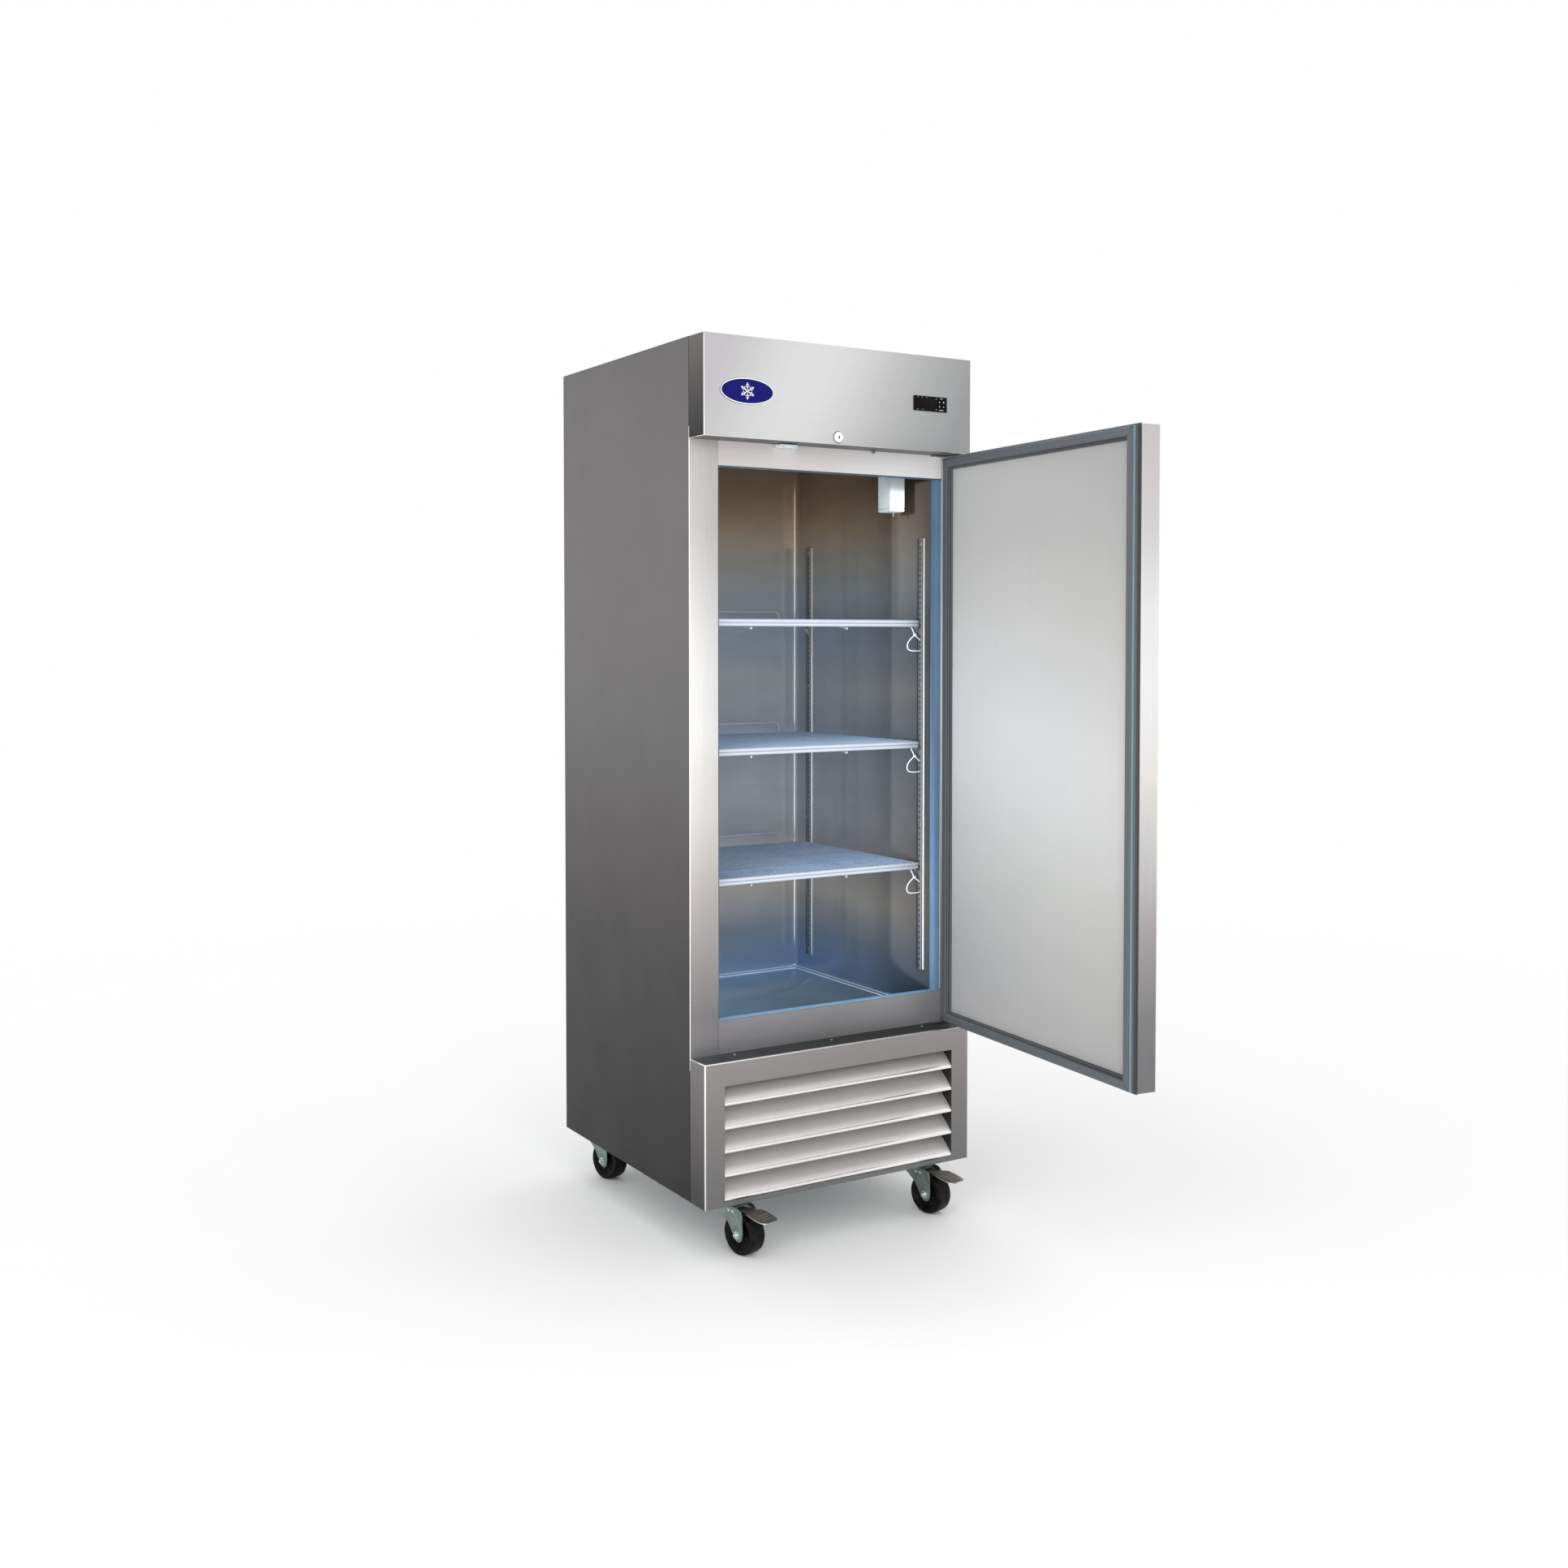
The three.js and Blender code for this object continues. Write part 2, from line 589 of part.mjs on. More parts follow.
function machine() {
  const { half, front, rear, bottom, top } = CONDENSER;
  place('condenser_coil', finnedBlock([-half, half], [front, rear], [bottom, top], 32), COPPER);
  place('condenser_shroud', condenserShroud(), BLACK_ENAMEL);
  const fan = fanWheel(CONDENSER_FAN.radius, 0, CONDENSER_FAN.depth).rotate([-90, 0, 0]);
  place('condenser_fan', fan.translate([CONDENSER_FAN.x, CONDENSER_FAN.front, CONDENSER_FAN.z]), BLACK_PLASTIC);
  place('compressor', compressor(), BLACK_ENAMEL);
  place('power_inlet', powerInlet(), BLACK_PLASTIC);
}

function interior() {
  for (const [rowName, row] of Object.entries(PILASTER_ROWS)) {
    place(`pilaster_${rowName}_left`, pilaster(row, -1), STEEL);
    place(`pilaster_${rowName}_right`, pilaster(row, 1), STEEL);
  }
  SHELF_LEVELS.forEach((level, n) => place(`shelf_${['upper', 'middle', 'lower'][n]}`, shelf(level), WHITE_COAT));
}

function doorBox(inset, y) {
  return box([-DOOR.half + inset, DOOR.half - inset], y, [DOOR.bottom + inset, DOOR.top - inset]);
}

function handlePocket(clearance, y) {
  return box(
    [HANDLE.left - clearance, HANDLE.right + clearance], y, [HANDLE.bottom - clearance, HANDLE.top + clearance],
  );
}

function pinBores(radius) {
  const depth = 24;
  return [
    bar('z', radius, [DOOR.bottom - 2, DOOR.bottom + depth], [PIVOT.x, PIVOT.y], 20),
    bar('z', radius, [DOOR.top - depth, DOOR.top + 2], [PIVOT.x, PIVOT.y], 20),
  ];
}

function doorSkin() {
  const pan = cut(
    doorBox(0, [FRONT_Y, FRONT_Y + DOOR.thickness]),
    doorBox(SHEET, [FRONT_Y + SHEET, FRONT_Y + DOOR.thickness + 1]),
  );
  const boltHole = boltSlot(0.8, [DOOR.top - 4, DOOR.top + 1]);
  return cut(pan, handlePocket(GAP, [FRONT_Y - 1, FRONT_Y + 3]), boltHole, ...pinBores(PIN_RADIUS + PIN_CLEARANCE));
}

function doorCore() {
  const inset = SHEET + GAP;
  const core = doorBox(inset, [FRONT_Y + inset, FRONT_Y + DOOR.thickness - 2]);
  const pocket = handlePocket(2 * GAP, [FRONT_Y - 1, FRONT_Y + HANDLE.depth + GAP]);
  const boltHole = boltSlot(2, [DOOR.top - 12, DOOR.top + 1]);
  return cut(core, pocket, boltHole, ...pinBores(PIN_RADIUS + PIN_CLEARANCE + 1));
}

function doorInnerPanel() {
  const y = FRONT_Y + DOOR.thickness;
  const plate = doorBox(SHEET + GAP, [y - 1.5, y]);
  const inset = GASKET.inset + GASKET.width + 4;
  return join(plate, doorBox(inset, [y - 1, y + 4]));
}

function doorGasket() {
  const y = [FRONT_Y + GASKET.start, FRONT_Y + GASKET.end];
  return cut(doorBox(GASKET.inset, y), doorBox(GASKET.inset + GASKET.width, [y[0] - 1, y[1] + 1]));
}

function doorHandle() {
  const wall = 1.5;
  const flange = 7;
  const tray = handlePocket(0, [FRONT_Y - 1, FRONT_Y + HANDLE.depth]);
  const rim = handlePocket(flange, [FRONT_Y - GAP - SHEET, FRONT_Y - GAP]);
  const hollow = handlePocket(-wall, [FRONT_Y - 5, FRONT_Y + HANDLE.depth - wall]);
  return cut(join(tray, rim), hollow);
}

function hingeBracket(plateZ, pinZ) {
  const arm = box([PIVOT.x - 13, PIVOT.x + 12], [PIVOT.y - 12, FACE_Y - 2 * GAP], plateZ);
  const foot = box([296, PIVOT.x + 12], [FACE_Y - 14, FACE_Y - 2 * GAP], plateZ);
  return join(arm, foot, bar('z', PIN_RADIUS, pinZ, [PIVOT.x, PIVOT.y], 20));
}

function door() {
  const axis = new THREE.Group();
  axis.position.set(PIVOT.x, PIVOT.y, 0);
  axis.rotation.z = THREE.MathUtils.degToRad(OPEN_ANGLE);
  const leaf = new THREE.Group();
  leaf.position.set(-PIVOT.x, -PIVOT.y, 0);
  axis.add(leaf);
  root.add(axis);
  place('door_outer_skin', doorSkin(), STEEL, leaf);
  place('door_core', doorCore(), FOAM, leaf);
  place('door_inner_panel', doorInnerPanel(), STEEL, leaf);
  place('door_gasket', doorGasket(), GREY_RUBBER, leaf);
  place('door_handle', doorHandle(), STEEL, leaf);
  const thick = 3;
  const topPlate = [HEADER_BOTTOM - GAP - thick, HEADER_BOTTOM - GAP];
  const lowPlate = [LOUVER_TOP + GAP, LOUVER_TOP + GAP + thick];
  place('hinge_top', hingeBracket(topPlate, [DOOR.top - 18, topPlate[1] - 1]), GALVANISED);
  place('hinge_bottom', hingeBracket(lowPlate, [lowPlate[0] + 1, DOOR.bottom + 18]), GALVANISED);
}

// Caster parts are drawn about the swivel axis at the origin, with the wheel trailing to the front; each fork
// stands turned a little on its swivel
const FORK = { top: -12.3, bottom: -20, sheet: 3, clear: 1.5 };

function casterPlate() {
  const plate = box([-50, 50], [-39, 41], [-3.3, -GAP]);
  return join(plate, bar('z', 28, [FORK.top + GAP, -3], [0, 0]));
}

function casterFork() {
  const axleZ = WHEEL.radius - CASTER_DROP;
  let body = bar('z', 26, [FORK.bottom, FORK.top], [0, 0]);
  const inner = WHEEL.half + FORK.clear;
  const outer = inner + FORK.sheet;
  body = join(body, box([-outer, outer], [-20, 20], [FORK.bottom, FORK.bottom + 4]));
  const cheek = outline([
    [26, FORK.bottom + 4], [-34, FORK.bottom + 4], [-50, axleZ + 6], [-46, axleZ - 12], [-34, axleZ - 14], [10, FORK.bottom - 14],
  ]);
  for (const side of [-1, 1]) {
    const x = side < 0 ? [-outer, -inner] : [inner, outer];
    body = join(body, prismX(cheek, x));
  }
  return join(body, bar('x', AXLE_RADIUS, [-outer - 6, outer + 6], [-TRAIL, axleZ], 12));
}

function casterWheel() {
  const { radius, half, bore } = WHEEL;
  const profile = [
    [bore, -half], [16, -half], [16, -half + 3], [radius - 9, -half + 3], [radius - 6, -half], [radius - 1.5, -half + 1],
    [radius, -half + 4], [radius, half - 4], [radius - 1.5, half - 1], [radius - 6, half], [radius - 9, half - 3],
    [16, half - 3], [16, half], [bore, half], [bore, -half],
  ];
  const geometry = new THREE.LatheGeometry(profile.map(([r, z]) => new THREE.Vector2(r, z)), 28);
  geometry.rotateZ(-Math.PI / 2);
  geometry.translate(0, -TRAIL, radius - CASTER_DROP);
  return solid(geometry);
}

const PEDAL = { top: -22, thick: 2.5, pivotY: -14 };

function brakePedal() {
  const z = [PEDAL.top - PEDAL.thick, PEDAL.top];
  const stem = 15;
  const pad = 27;
  const points = [
    [-stem, PEDAL.pivotY], [-stem, -58], [-pad, -68], [-pad, -116], [-pad + 9, -125],
    [pad - 9, -125], [pad, -116], [pad, -68], [stem, -58], [stem, PEDAL.pivotY],
  ];
  return prismZ(outline(points), z);
}

function casters() {
  for (const caster of CASTERS) {
    const spot = new THREE.Group();
    spot.position.set(caster.x, caster.y, 0);
    root.add(spot);
    const turned = new THREE.Group();
    turned.rotation.z = THREE.MathUtils.degToRad(SWIVEL_REST);
    spot.add(turned);
    place(`caster_plate_${caster.name}`, casterPlate(), GALVANISED, spot);
    place(`caster_fork_${caster.name}`, casterFork(), GALVANISED, turned);
    place(`caster_wheel_${caster.name}`, casterWheel(), TYRE_BLACK, turned);
    if (caster.brake) {
      place(`brake_pedal_${caster.name}`, brakePedal(), GALVANISED, turned);
    }
  }
}

shell();
controls();
interior();
coldUnit();
machine();
door();
casters();

export default root;
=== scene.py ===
"""Reach-in refrigerator: the looks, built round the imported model. Lengths are millimetres until a piece is made."""
import json
import math

import bmesh
import bpy
from mathutils import Matrix, Vector


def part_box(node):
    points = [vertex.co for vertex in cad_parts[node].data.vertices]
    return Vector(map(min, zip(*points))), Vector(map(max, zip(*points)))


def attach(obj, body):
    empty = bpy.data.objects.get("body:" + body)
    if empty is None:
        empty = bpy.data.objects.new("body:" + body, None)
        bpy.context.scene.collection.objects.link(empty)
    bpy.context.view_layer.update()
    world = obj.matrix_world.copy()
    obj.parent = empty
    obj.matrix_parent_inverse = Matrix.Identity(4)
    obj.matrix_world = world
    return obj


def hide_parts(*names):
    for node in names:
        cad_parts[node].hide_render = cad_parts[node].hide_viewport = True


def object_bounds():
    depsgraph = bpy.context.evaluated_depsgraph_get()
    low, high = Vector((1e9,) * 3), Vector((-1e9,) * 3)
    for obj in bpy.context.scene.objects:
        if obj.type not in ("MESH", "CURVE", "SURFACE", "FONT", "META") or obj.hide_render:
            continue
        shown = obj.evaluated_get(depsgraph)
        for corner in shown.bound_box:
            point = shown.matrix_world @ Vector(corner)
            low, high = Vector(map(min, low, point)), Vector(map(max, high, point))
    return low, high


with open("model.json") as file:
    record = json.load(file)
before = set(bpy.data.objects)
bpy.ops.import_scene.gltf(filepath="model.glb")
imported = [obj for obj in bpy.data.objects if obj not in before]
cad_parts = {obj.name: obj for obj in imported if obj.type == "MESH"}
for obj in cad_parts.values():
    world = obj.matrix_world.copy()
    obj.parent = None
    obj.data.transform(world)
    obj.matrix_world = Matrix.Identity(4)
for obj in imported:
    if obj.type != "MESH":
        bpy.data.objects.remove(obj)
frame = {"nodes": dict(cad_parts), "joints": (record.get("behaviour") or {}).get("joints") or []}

cad_low, cad_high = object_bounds()
MM = 0.001
scene = bpy.context.scene


def span(node):
    """(x, y, z) ranges of a CAD node in millimetres."""
    low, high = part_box(node)
    return [(low[i] / MM, high[i] / MM) for i in range(3)]


# Camera, at the photograph's viewing angle
CAMERA_PLACE = (-2.108, -3.5415, 1.264)
CAMERA_YAW, CAMERA_PITCH = math.radians(31.56), math.radians(-1.84)
SENSOR_WIDTH, LENS, SHIFT_Y = 36, 38.07, -0.0595
camera_data = bpy.data.cameras.new("camera")
camera_data.sensor_width = SENSOR_WIDTH
camera_data.lens = LENS
camera_data.shift_y = SHIFT_Y
camera_data.clip_end = 100
camera = bpy.data.objects.new("camera", camera_data)
scene.collection.objects.link(camera)
camera.location = CAMERA_PLACE
forward = Vector((
    math.sin(CAMERA_YAW) * math.cos(CAMERA_PITCH),
    math.cos(CAMERA_YAW) * math.cos(CAMERA_PITCH),
    math.sin(CAMERA_PITCH),
))
camera.rotation_mode = "QUATERNION"
camera.rotation_quaternion = forward.to_track_quat("-Z", "Y")
scene.camera = camera
scene.view_settings.view_transform = "Standard"


# Materials ------------------------------------------------------------------------------------------------------

def colour(code):
    """Linear colour from a web colour code."""
    parts = [int(code[i:i + 2], 16) / 255 for i in (1, 3, 5)]
    return [c / 12.92 if c <= 0.04045 else ((c + 0.055) / 1.055) ** 2.4 for c in parts] + [1]


# The part of a noise's 0 to 1 that carries nearly all of its values
NOISE_RANGE = (0.3, 0.7)


class Look:
    """A node material under construction."""

    def __init__(self, name, metallic=0.0, roughness=0.5, **sockets):
        self.material = bpy.data.materials.new(name)
        self.material.use_nodes = True
        self.tree = self.material.node_tree
        self.tree.nodes.clear()
        output = self.add("ShaderNodeOutputMaterial")
        self.shader = self.add("ShaderNodeBsdfPrincipled")
        self.join(self.shader.outputs["BSDF"], output.inputs["Surface"])
        self.place = self.add("ShaderNodeTexCoord").outputs["Object"]
        self.shader.inputs["Metallic"].default_value = metallic
        self.shader.inputs["Roughness"].default_value = roughness
        for socket, value in sockets.items():
            self.shader.inputs[socket.replace("_", " ")].default_value = value

    def add(self, kind, **settings):
        made = self.tree.nodes.new(kind)
        for key, value in settings.items():
            setattr(made, key, value)
        return made

    def join(self, source, target):
        self.tree.links.new(source, target)

    def along(self, direction, low, high):
        """0 to 1 as the place goes from low to high millimetres along a direction."""
        dot = self.add("ShaderNodeVectorMath", operation="DOT_PRODUCT")
        self.join(self.place, dot.inputs[0])
        dot.inputs[1].default_value = direction
        remap = self.add("ShaderNodeMapRange")
        self.join(dot.outputs["Value"], remap.inputs["Value"])
        remap.inputs["From Min"].default_value = low * MM
        remap.inputs["From Max"].default_value = high * MM
        return remap.outputs["Result"]

    def ramp(self, factor, stops):
        made = self.add("ShaderNodeValToRGB")
        bar = made.color_ramp
        while len(bar.elements) < len(stops):
            bar.elements.new(0.5)
        for element, (position, code) in zip(bar.elements, stops):
            element.position = position
            element.color = colour(code)
        self.join(factor, made.inputs["Fac"])
        return made.outputs["Color"]

    def graded(self, direction, stops):
        """Colours at millimetre places along a direction."""
        low, high = stops[0][0], stops[-1][0]
        return self.ramp(self.along(direction, low, high), [((p - low) / (high - low), c) for p, c in stops])

    def noise(self, scale, detail=3.0, roughness=0.55, distortion=0.0):
        """Noise with features 1/scale metres long; scale may be one number or three."""
        mapping = self.add("ShaderNodeMapping")
        self.join(self.place, mapping.inputs["Vector"])
        mapping.inputs["Scale"].default_value = scale if hasattr(scale, "__len__") else (scale,) * 3
        made = self.add("ShaderNodeTexNoise")
        made.inputs["Scale"].default_value = 1.0
        made.inputs["Detail"].default_value = detail
        made.inputs["Roughness"].default_value = roughness
        made.inputs["Distortion"].default_value = distortion
        self.join(mapping.outputs["Vector"], made.inputs["Vector"])
        return made.outputs["Fac"]

    def cells(self, scale):
        """A colour of its own for each cell 1/scale metres wide."""
        made = self.add("ShaderNodeTexVoronoi", feature="F1")
        made.inputs["Scale"].default_value = scale
        self.join(self.place, made.inputs["Vector"])
        return made.outputs["Color"]

    def number(self, value, low, high, to_low, to_high, clamp=True):
        """A value remapped from low..high to to_low..to_high."""
        remap = self.add("ShaderNodeMapRange", clamp=clamp)
        self.join(value, remap.inputs["Value"])
        for socket, bound in zip(("From Min", "From Max", "To Min", "To Max"), (low, high, to_low, to_high)):
            remap.inputs[socket].default_value = bound
        return remap.outputs["Result"]

    def mix(self, kind, factor, a, b):
        """Two colours mixed; each may be a socket or a constant."""
        made = self.add("ShaderNodeMix", data_type="RGBA", blend_type=kind)
        for socket, value in ((made.inputs[0], factor), (made.inputs[6], a), (made.inputs[7], b)):
            if hasattr(value, "is_linked"):
                self.join(value, socket)
            else:
                socket.default_value = value
        return made.outputs[2]

    def shade(self, base, value, low, high):
        """base made darker or lighter by a noise that is remapped to low..high."""
        grey = self.number(value, *NOISE_RANGE, low, high)
        return self.mix("MULTIPLY", 1.0, base, grey)

    def paint(self, base):
        if hasattr(base, "is_linked"):
            self.join(base, self.shader.inputs["Base Color"])
        else:
            self.shader.inputs["Base Color"].default_value = base
        return self

    def gloss(self, value, low, high):
        self.join(self.number(value, *NOISE_RANGE, low, high), self.shader.inputs["Roughness"])
        return self

    def relief(self, value, strength, depth):
        bump = self.add("ShaderNodeBump")
        bump.inputs["Strength"].default_value = strength
        bump.inputs["Distance"].default_value = depth * MM
        self.join(value, bump.inputs["Height"])
        self.join(bump.outputs["Normal"], self.shader.inputs["Normal"])
        return self


X_AXIS, Y_AXIS, Z_AXIS = (1, 0, 0), (0, 1, 0), (0, 0, 1)
GRAIN = {"x": (5, 520, 520), "y": (520, 5, 520), "z": (520, 520, 5)}
SOFT_GRAIN = {"x": (2, 130, 130), "y": (130, 2, 130), "z": (130, 130, 2)}


def brushed(name, direction, stops, grain, roughness=0.34, metallic=1.0, contrast=1.0, gain=1.0, sweep=None):
    """Brushed stainless steel: painted reflection and shade as tones along a direction, streaks along the grain and
    faint handling marks.

    gain multiplies the tones; sweep is (direction, low, high, first, last), a second painted tone laid across them.
    """
    look = Look(name, metallic=metallic)
    base = look.graded(direction, stops)
    if gain != 1.0:
        base = look.mix("MULTIPLY", 1.0, base, (gain, gain, gain, 1))
    if sweep:
        across, low, high, first, last = sweep
        base = look.mix("MULTIPLY", 1.0, base, look.ramp(look.along(across, low, high), [(0, first), (1, last)]))
    fine = look.noise(GRAIN[grain], detail=4, roughness=0.7)
    soft = look.noise(SOFT_GRAIN[grain], detail=3)
    smudge = look.noise(7, detail=5, roughness=0.6, distortion=0.4)
    base = look.shade(base, fine, 1 - 0.035 * contrast, 1 + 0.02 * contrast)
    base = look.shade(base, soft, 1 - 0.02 * contrast, 1 + 0.015 * contrast)
    base = look.shade(base, smudge, 1 - 0.012 * contrast, 1 + 0.008 * contrast)
    look.paint(base)
    look.gloss(smudge, roughness - 0.03, roughness + 0.05)
    look.relief(fine, 0.12, 0.05)
    return look.material


# Painted reflection and shade: these tone tables lay light and dark bands on the steel where light and surroundings
# fall, over its own grey.
FRONT_TONES = [
    (296, "#9b9a9c"), (360, "#8a888a"), (416, "#858385"), (507, "#999595"), (689, "#c1bcba"), (871, "#e4e0dd"),
    (1053, "#f3f1ef"), (1144, "#f3f1ef"), (1235, "#efedec"), (1417, "#d9d7d6"), (1508, "#d0cdcc"), (1700, "#cdc8c7"),
]
SIDE_TONES = [
    (0, "#2c2b2b"), (237, "#373536"), (508, "#484647"), (779, "#5d5a5b"), (1050, "#706f6f"), (1321, "#777475"),
    (1592, "#777475"), (1928, "#716f70"),
]
# Painted sheen across the header, laid slantwise along HEADER_TILT.
HEADER_TONES = [
    (-349, "#c7c4c7"), (-300, "#cdcccd"), (-225, "#d8d8d8"), (-146, "#e1e1e1"), (-64, "#e1e1e1"), (21, "#d7d7d7"),
    (109, "#c6c6c6"), (200, "#b5b6b6"), (303, "#a5a7a8"), (350, "#9c9e9f"),
]
PANEL_TONES = [
    (363, "#adadad"), (415, "#afafaf"), (578, "#bbbbb9"), (741, "#c9cac7"), (904, "#d7d7d7"), (1040, "#dbdbdb"),
    (1150, "#d5d5d5"), (1312, "#cacac8"), (1475, "#bdbdbc"), (1665, "#b1b1b1"),
]
DOOR_EDGE_TONES = [
    (331, "#828182"), (374, "#828183"), (489, "#8d8b8c"), (654, "#b0aaaa"), (818, "#d5d3cf"), (983, "#f3efeb"),
    (1148, "#fcfbf9"), (1313, "#f8f6f4"), (1478, "#dfdddc"), (1626, "#d6d2d1"), (1697, "#d4cfce"),
]
LOUVER_TONES = [(0, "#767676"), (38, "#787878"), (166, "#827f7e"), (294, "#908c8b"), (324, "#959190")]
LOUVER_SIDE_TONES = [(0, "#484646"), (38, "#4c4a4a"), (166, "#656263"), (324, "#7e7b7c")]
# Painted light: the top rail grows lighter to the right, against the shade under the header.
RAIL_TONES = [(-291, "#d0cbca"), (0, "#dddad9"), (330, "#ffffff")]
LOW_RAIL_TONES = [(-291, "#7f7d80"), (0, "#7e7d7f"), (330, "#929194")]
HEADER_SIDE_TONES = [(1703, "#2e2d2b"), (1720, "#353334"), (1815, "#514f4e"), (1928, "#706c6a")]
DOOR_TONES = [(331, "#a2a2a3"), (700, "#b4b4b4"), (1100, "#d2d2d1"), (1697, "#b6b6b7")]
# Painted reflection of the interior on the pilasters' faces and rear flanges.
UPRIGHT_TONES = [(420, "#5f7088"), (600, "#807f7d"), (900, "#6f747a"), (1250, "#6b7178"), (1520, "#6b6864")]
FLANGE_TONES = [(350, "#e8f0fa"), (1000, "#f4f4f4"), (1650, "#b8ab9c")]
# Slants of the painted sheen on the header and on the door's inner panel.
HEADER_TILT, PANEL_TILT = (1, 0, -0.4), (-0.16, 0, 1)
HEADER_START = -726
steel_frame = brushed("steel_frame", Z_AXIS, FRONT_TONES, "z", metallic=0.8, roughness=0.4, gain=0.88)
steel_rail = brushed("steel_rail", X_AXIS, RAIL_TONES, "x", metallic=0.15, roughness=0.5)
steel_low_rail = brushed("steel_low_rail", X_AXIS, LOW_RAIL_TONES, "x", metallic=0.4, roughness=0.45)
steel_header = brushed(
    "steel_header", HEADER_TILT, [(x + HEADER_START, tone) for x, tone in HEADER_TONES], "x", contrast=0.5,
)
steel_side = brushed("steel_side", Z_AXIS, SIDE_TONES, "z", roughness=0.4)
steel_header_side = brushed("steel_header_side", Z_AXIS, HEADER_SIDE_TONES, "z")
steel_louver = brushed("steel_louver", Z_AXIS, LOUVER_TONES, "x", gain=1.04)
steel_louver_side = brushed("steel_louver_side", Z_AXIS, LOUVER_SIDE_TONES, "z")
# Painted shade: the louver's ledge darkens to the right, and steel_shade is dark steel for faces in shade.
steel_ledge = brushed("steel_ledge", X_AXIS, [(-364, "#73797b"), (0, "#575c5a"), (364, "#444545")], "x")
steel_shade = brushed("steel_shade", X_AXIS, [(-364, "#4a4b49"), (364, "#3b3c3a")], "x", metallic=0.6)
steel_door = brushed("steel_door", Z_AXIS, DOOR_TONES, "x", metallic=0.5, roughness=0.62, gain=0.82)
steel_door_edge = brushed("steel_door_edge", Z_AXIS, DOOR_EDGE_TONES, "z", gain=0.92)
# Painted light on the door's inner panel: its tones lifted and lighter to the right.
steel_panel = brushed(
    "steel_panel", PANEL_TILT, PANEL_TONES, "z", roughness=0.45, metallic=0.12, contrast=0.5, gain=1.42,
    sweep=(X_AXIS, -330, 330, "#d0d0d0", "#ffffff"),
)
# Painted highlight for folds, rolled edges and blade hems.
steel_edge_highlight = brushed("steel_edge_highlight", Z_AXIS, [(0, "#f4f2f0"), (1928, "#fbfafa")], "z", roughness=0.22)


def galvanised(name, tone, spangle=90):
    """Zinc-coated sheet: spangle cells, dull patches and fine pitting."""
    look = Look(name, metallic=0.85)
    grey = look.add("ShaderNodeRGBToBW")
    look.join(look.cells(spangle), grey.inputs["Color"])
    patch = look.noise(9, detail=5)
    pits = look.noise(420, detail=2)
    base = look.mix("MULTIPLY", 1.0, colour(tone), look.number(grey.outputs["Val"], 0.2, 0.8, 0.88, 1.08))
    base = look.shade(base, patch, 0.94, 1.04)
    look.paint(base).gloss(patch, 0.38, 0.55).relief(pits, 0.15, 0.1)
    return look.material


def plastic(name, tone, roughness=0.4, grain=900, depth=0.05, wear=0.06, **sockets):
    """Moulded plastic or paint with a fine texture, slight tone drift and rub marks."""
    look = Look(name, roughness=roughness, **sockets)
    fine = look.noise(grain, detail=3)
    drift = look.noise(14, detail=4)
    base = look.shade(colour(tone), drift, 1 - wear, 1 + wear * 0.6)
    base = look.shade(base, fine, 1 - wear * 0.4, 1 + wear * 0.3)
    look.paint(base).gloss(drift, roughness - 0.05, roughness + 0.08).relief(fine, 0.25, depth)
    return look.material


def rubber(name, tone, roughness, specular=0.3):
    """Rubber with a film of dust."""
    look = Look(name, roughness=roughness, Specular_IOR_Level=specular)
    dust = look.noise(38, detail=6, roughness=0.65)
    fine = look.noise(1500, detail=2)
    base = look.mix("MIX", look.number(dust, 0.45, 0.75, 0.0, 0.1), colour(tone), colour("#6a6864"))
    look.paint(base).gloss(dust, roughness - 0.08, roughness + 0.12).relief(fine, 0.3, 0.08)
    return look.material


def plated(name, tone, roughness=0.28):
    """Zinc or chrome plate with a faint cast and a fine mottle."""
    look = Look(name, metallic=0.95, roughness=roughness)
    cast = look.noise(30, detail=5, distortion=0.6)
    fine = look.noise(700, detail=3)
    base = look.mix("MIX", look.number(cast, 0.35, 0.7, 0.0, 0.35), colour(tone), colour("#b9c4b4"))
    base = look.shade(base, fine, 0.93, 1.04)
    look.paint(base).gloss(cast, roughness - 0.04, roughness + 0.12).relief(fine, 0.12, 0.05)
    return look.material


# Painted light inside the cabinet: warm toward the top, blue toward the floor, with a painted highlight along the
# floor's cove.
LINER_TONES = [
    (350, "#b2dafc"), (353, "#b2dafc"), (366, "#a4c6ee"), (410, "#aac8ec"), (470, "#b8c8dc"), (580, "#f0ece4"),
    (680, "#dcdcdc"), (760, "#ced2d8"), (900, "#ccd4dc"), (1000, "#c0cede"), (1130, "#ccd0d2"), (1250, "#bac8da"),
    (1340, "#c4d0dc"), (1450, "#ccccc6"), (1540, "#c4b29c"), (1600, "#b8a088"), (1650, "#a89078"), (1880, "#7c6e60"),
]
# Painted shade, darkest toward the opening.
LINER_DEPTH_SHADES = [(0.0, "#6a6a6a"), (0.25, "#949494"), (0.6, "#d0d0d0"), (1.0, "#ffffff")]


BLADE_PITCH, BLADE_FOOT = 53.2, 18.5
# Painted light on each blade: a painted highlight at the lower edge, painted shade up the middle, and lighter again at
# the root against the shade there.
BLADE_TONES = [
    (0.0, "#efedec"), (0.08, "#e3e0df"), (0.25, "#c3bfbe"), (0.5, "#c4c1c0"), (0.78, "#e8e5e4"), (0.88, "#e8e5e4"),
    (0.91, "#efedec"),
]


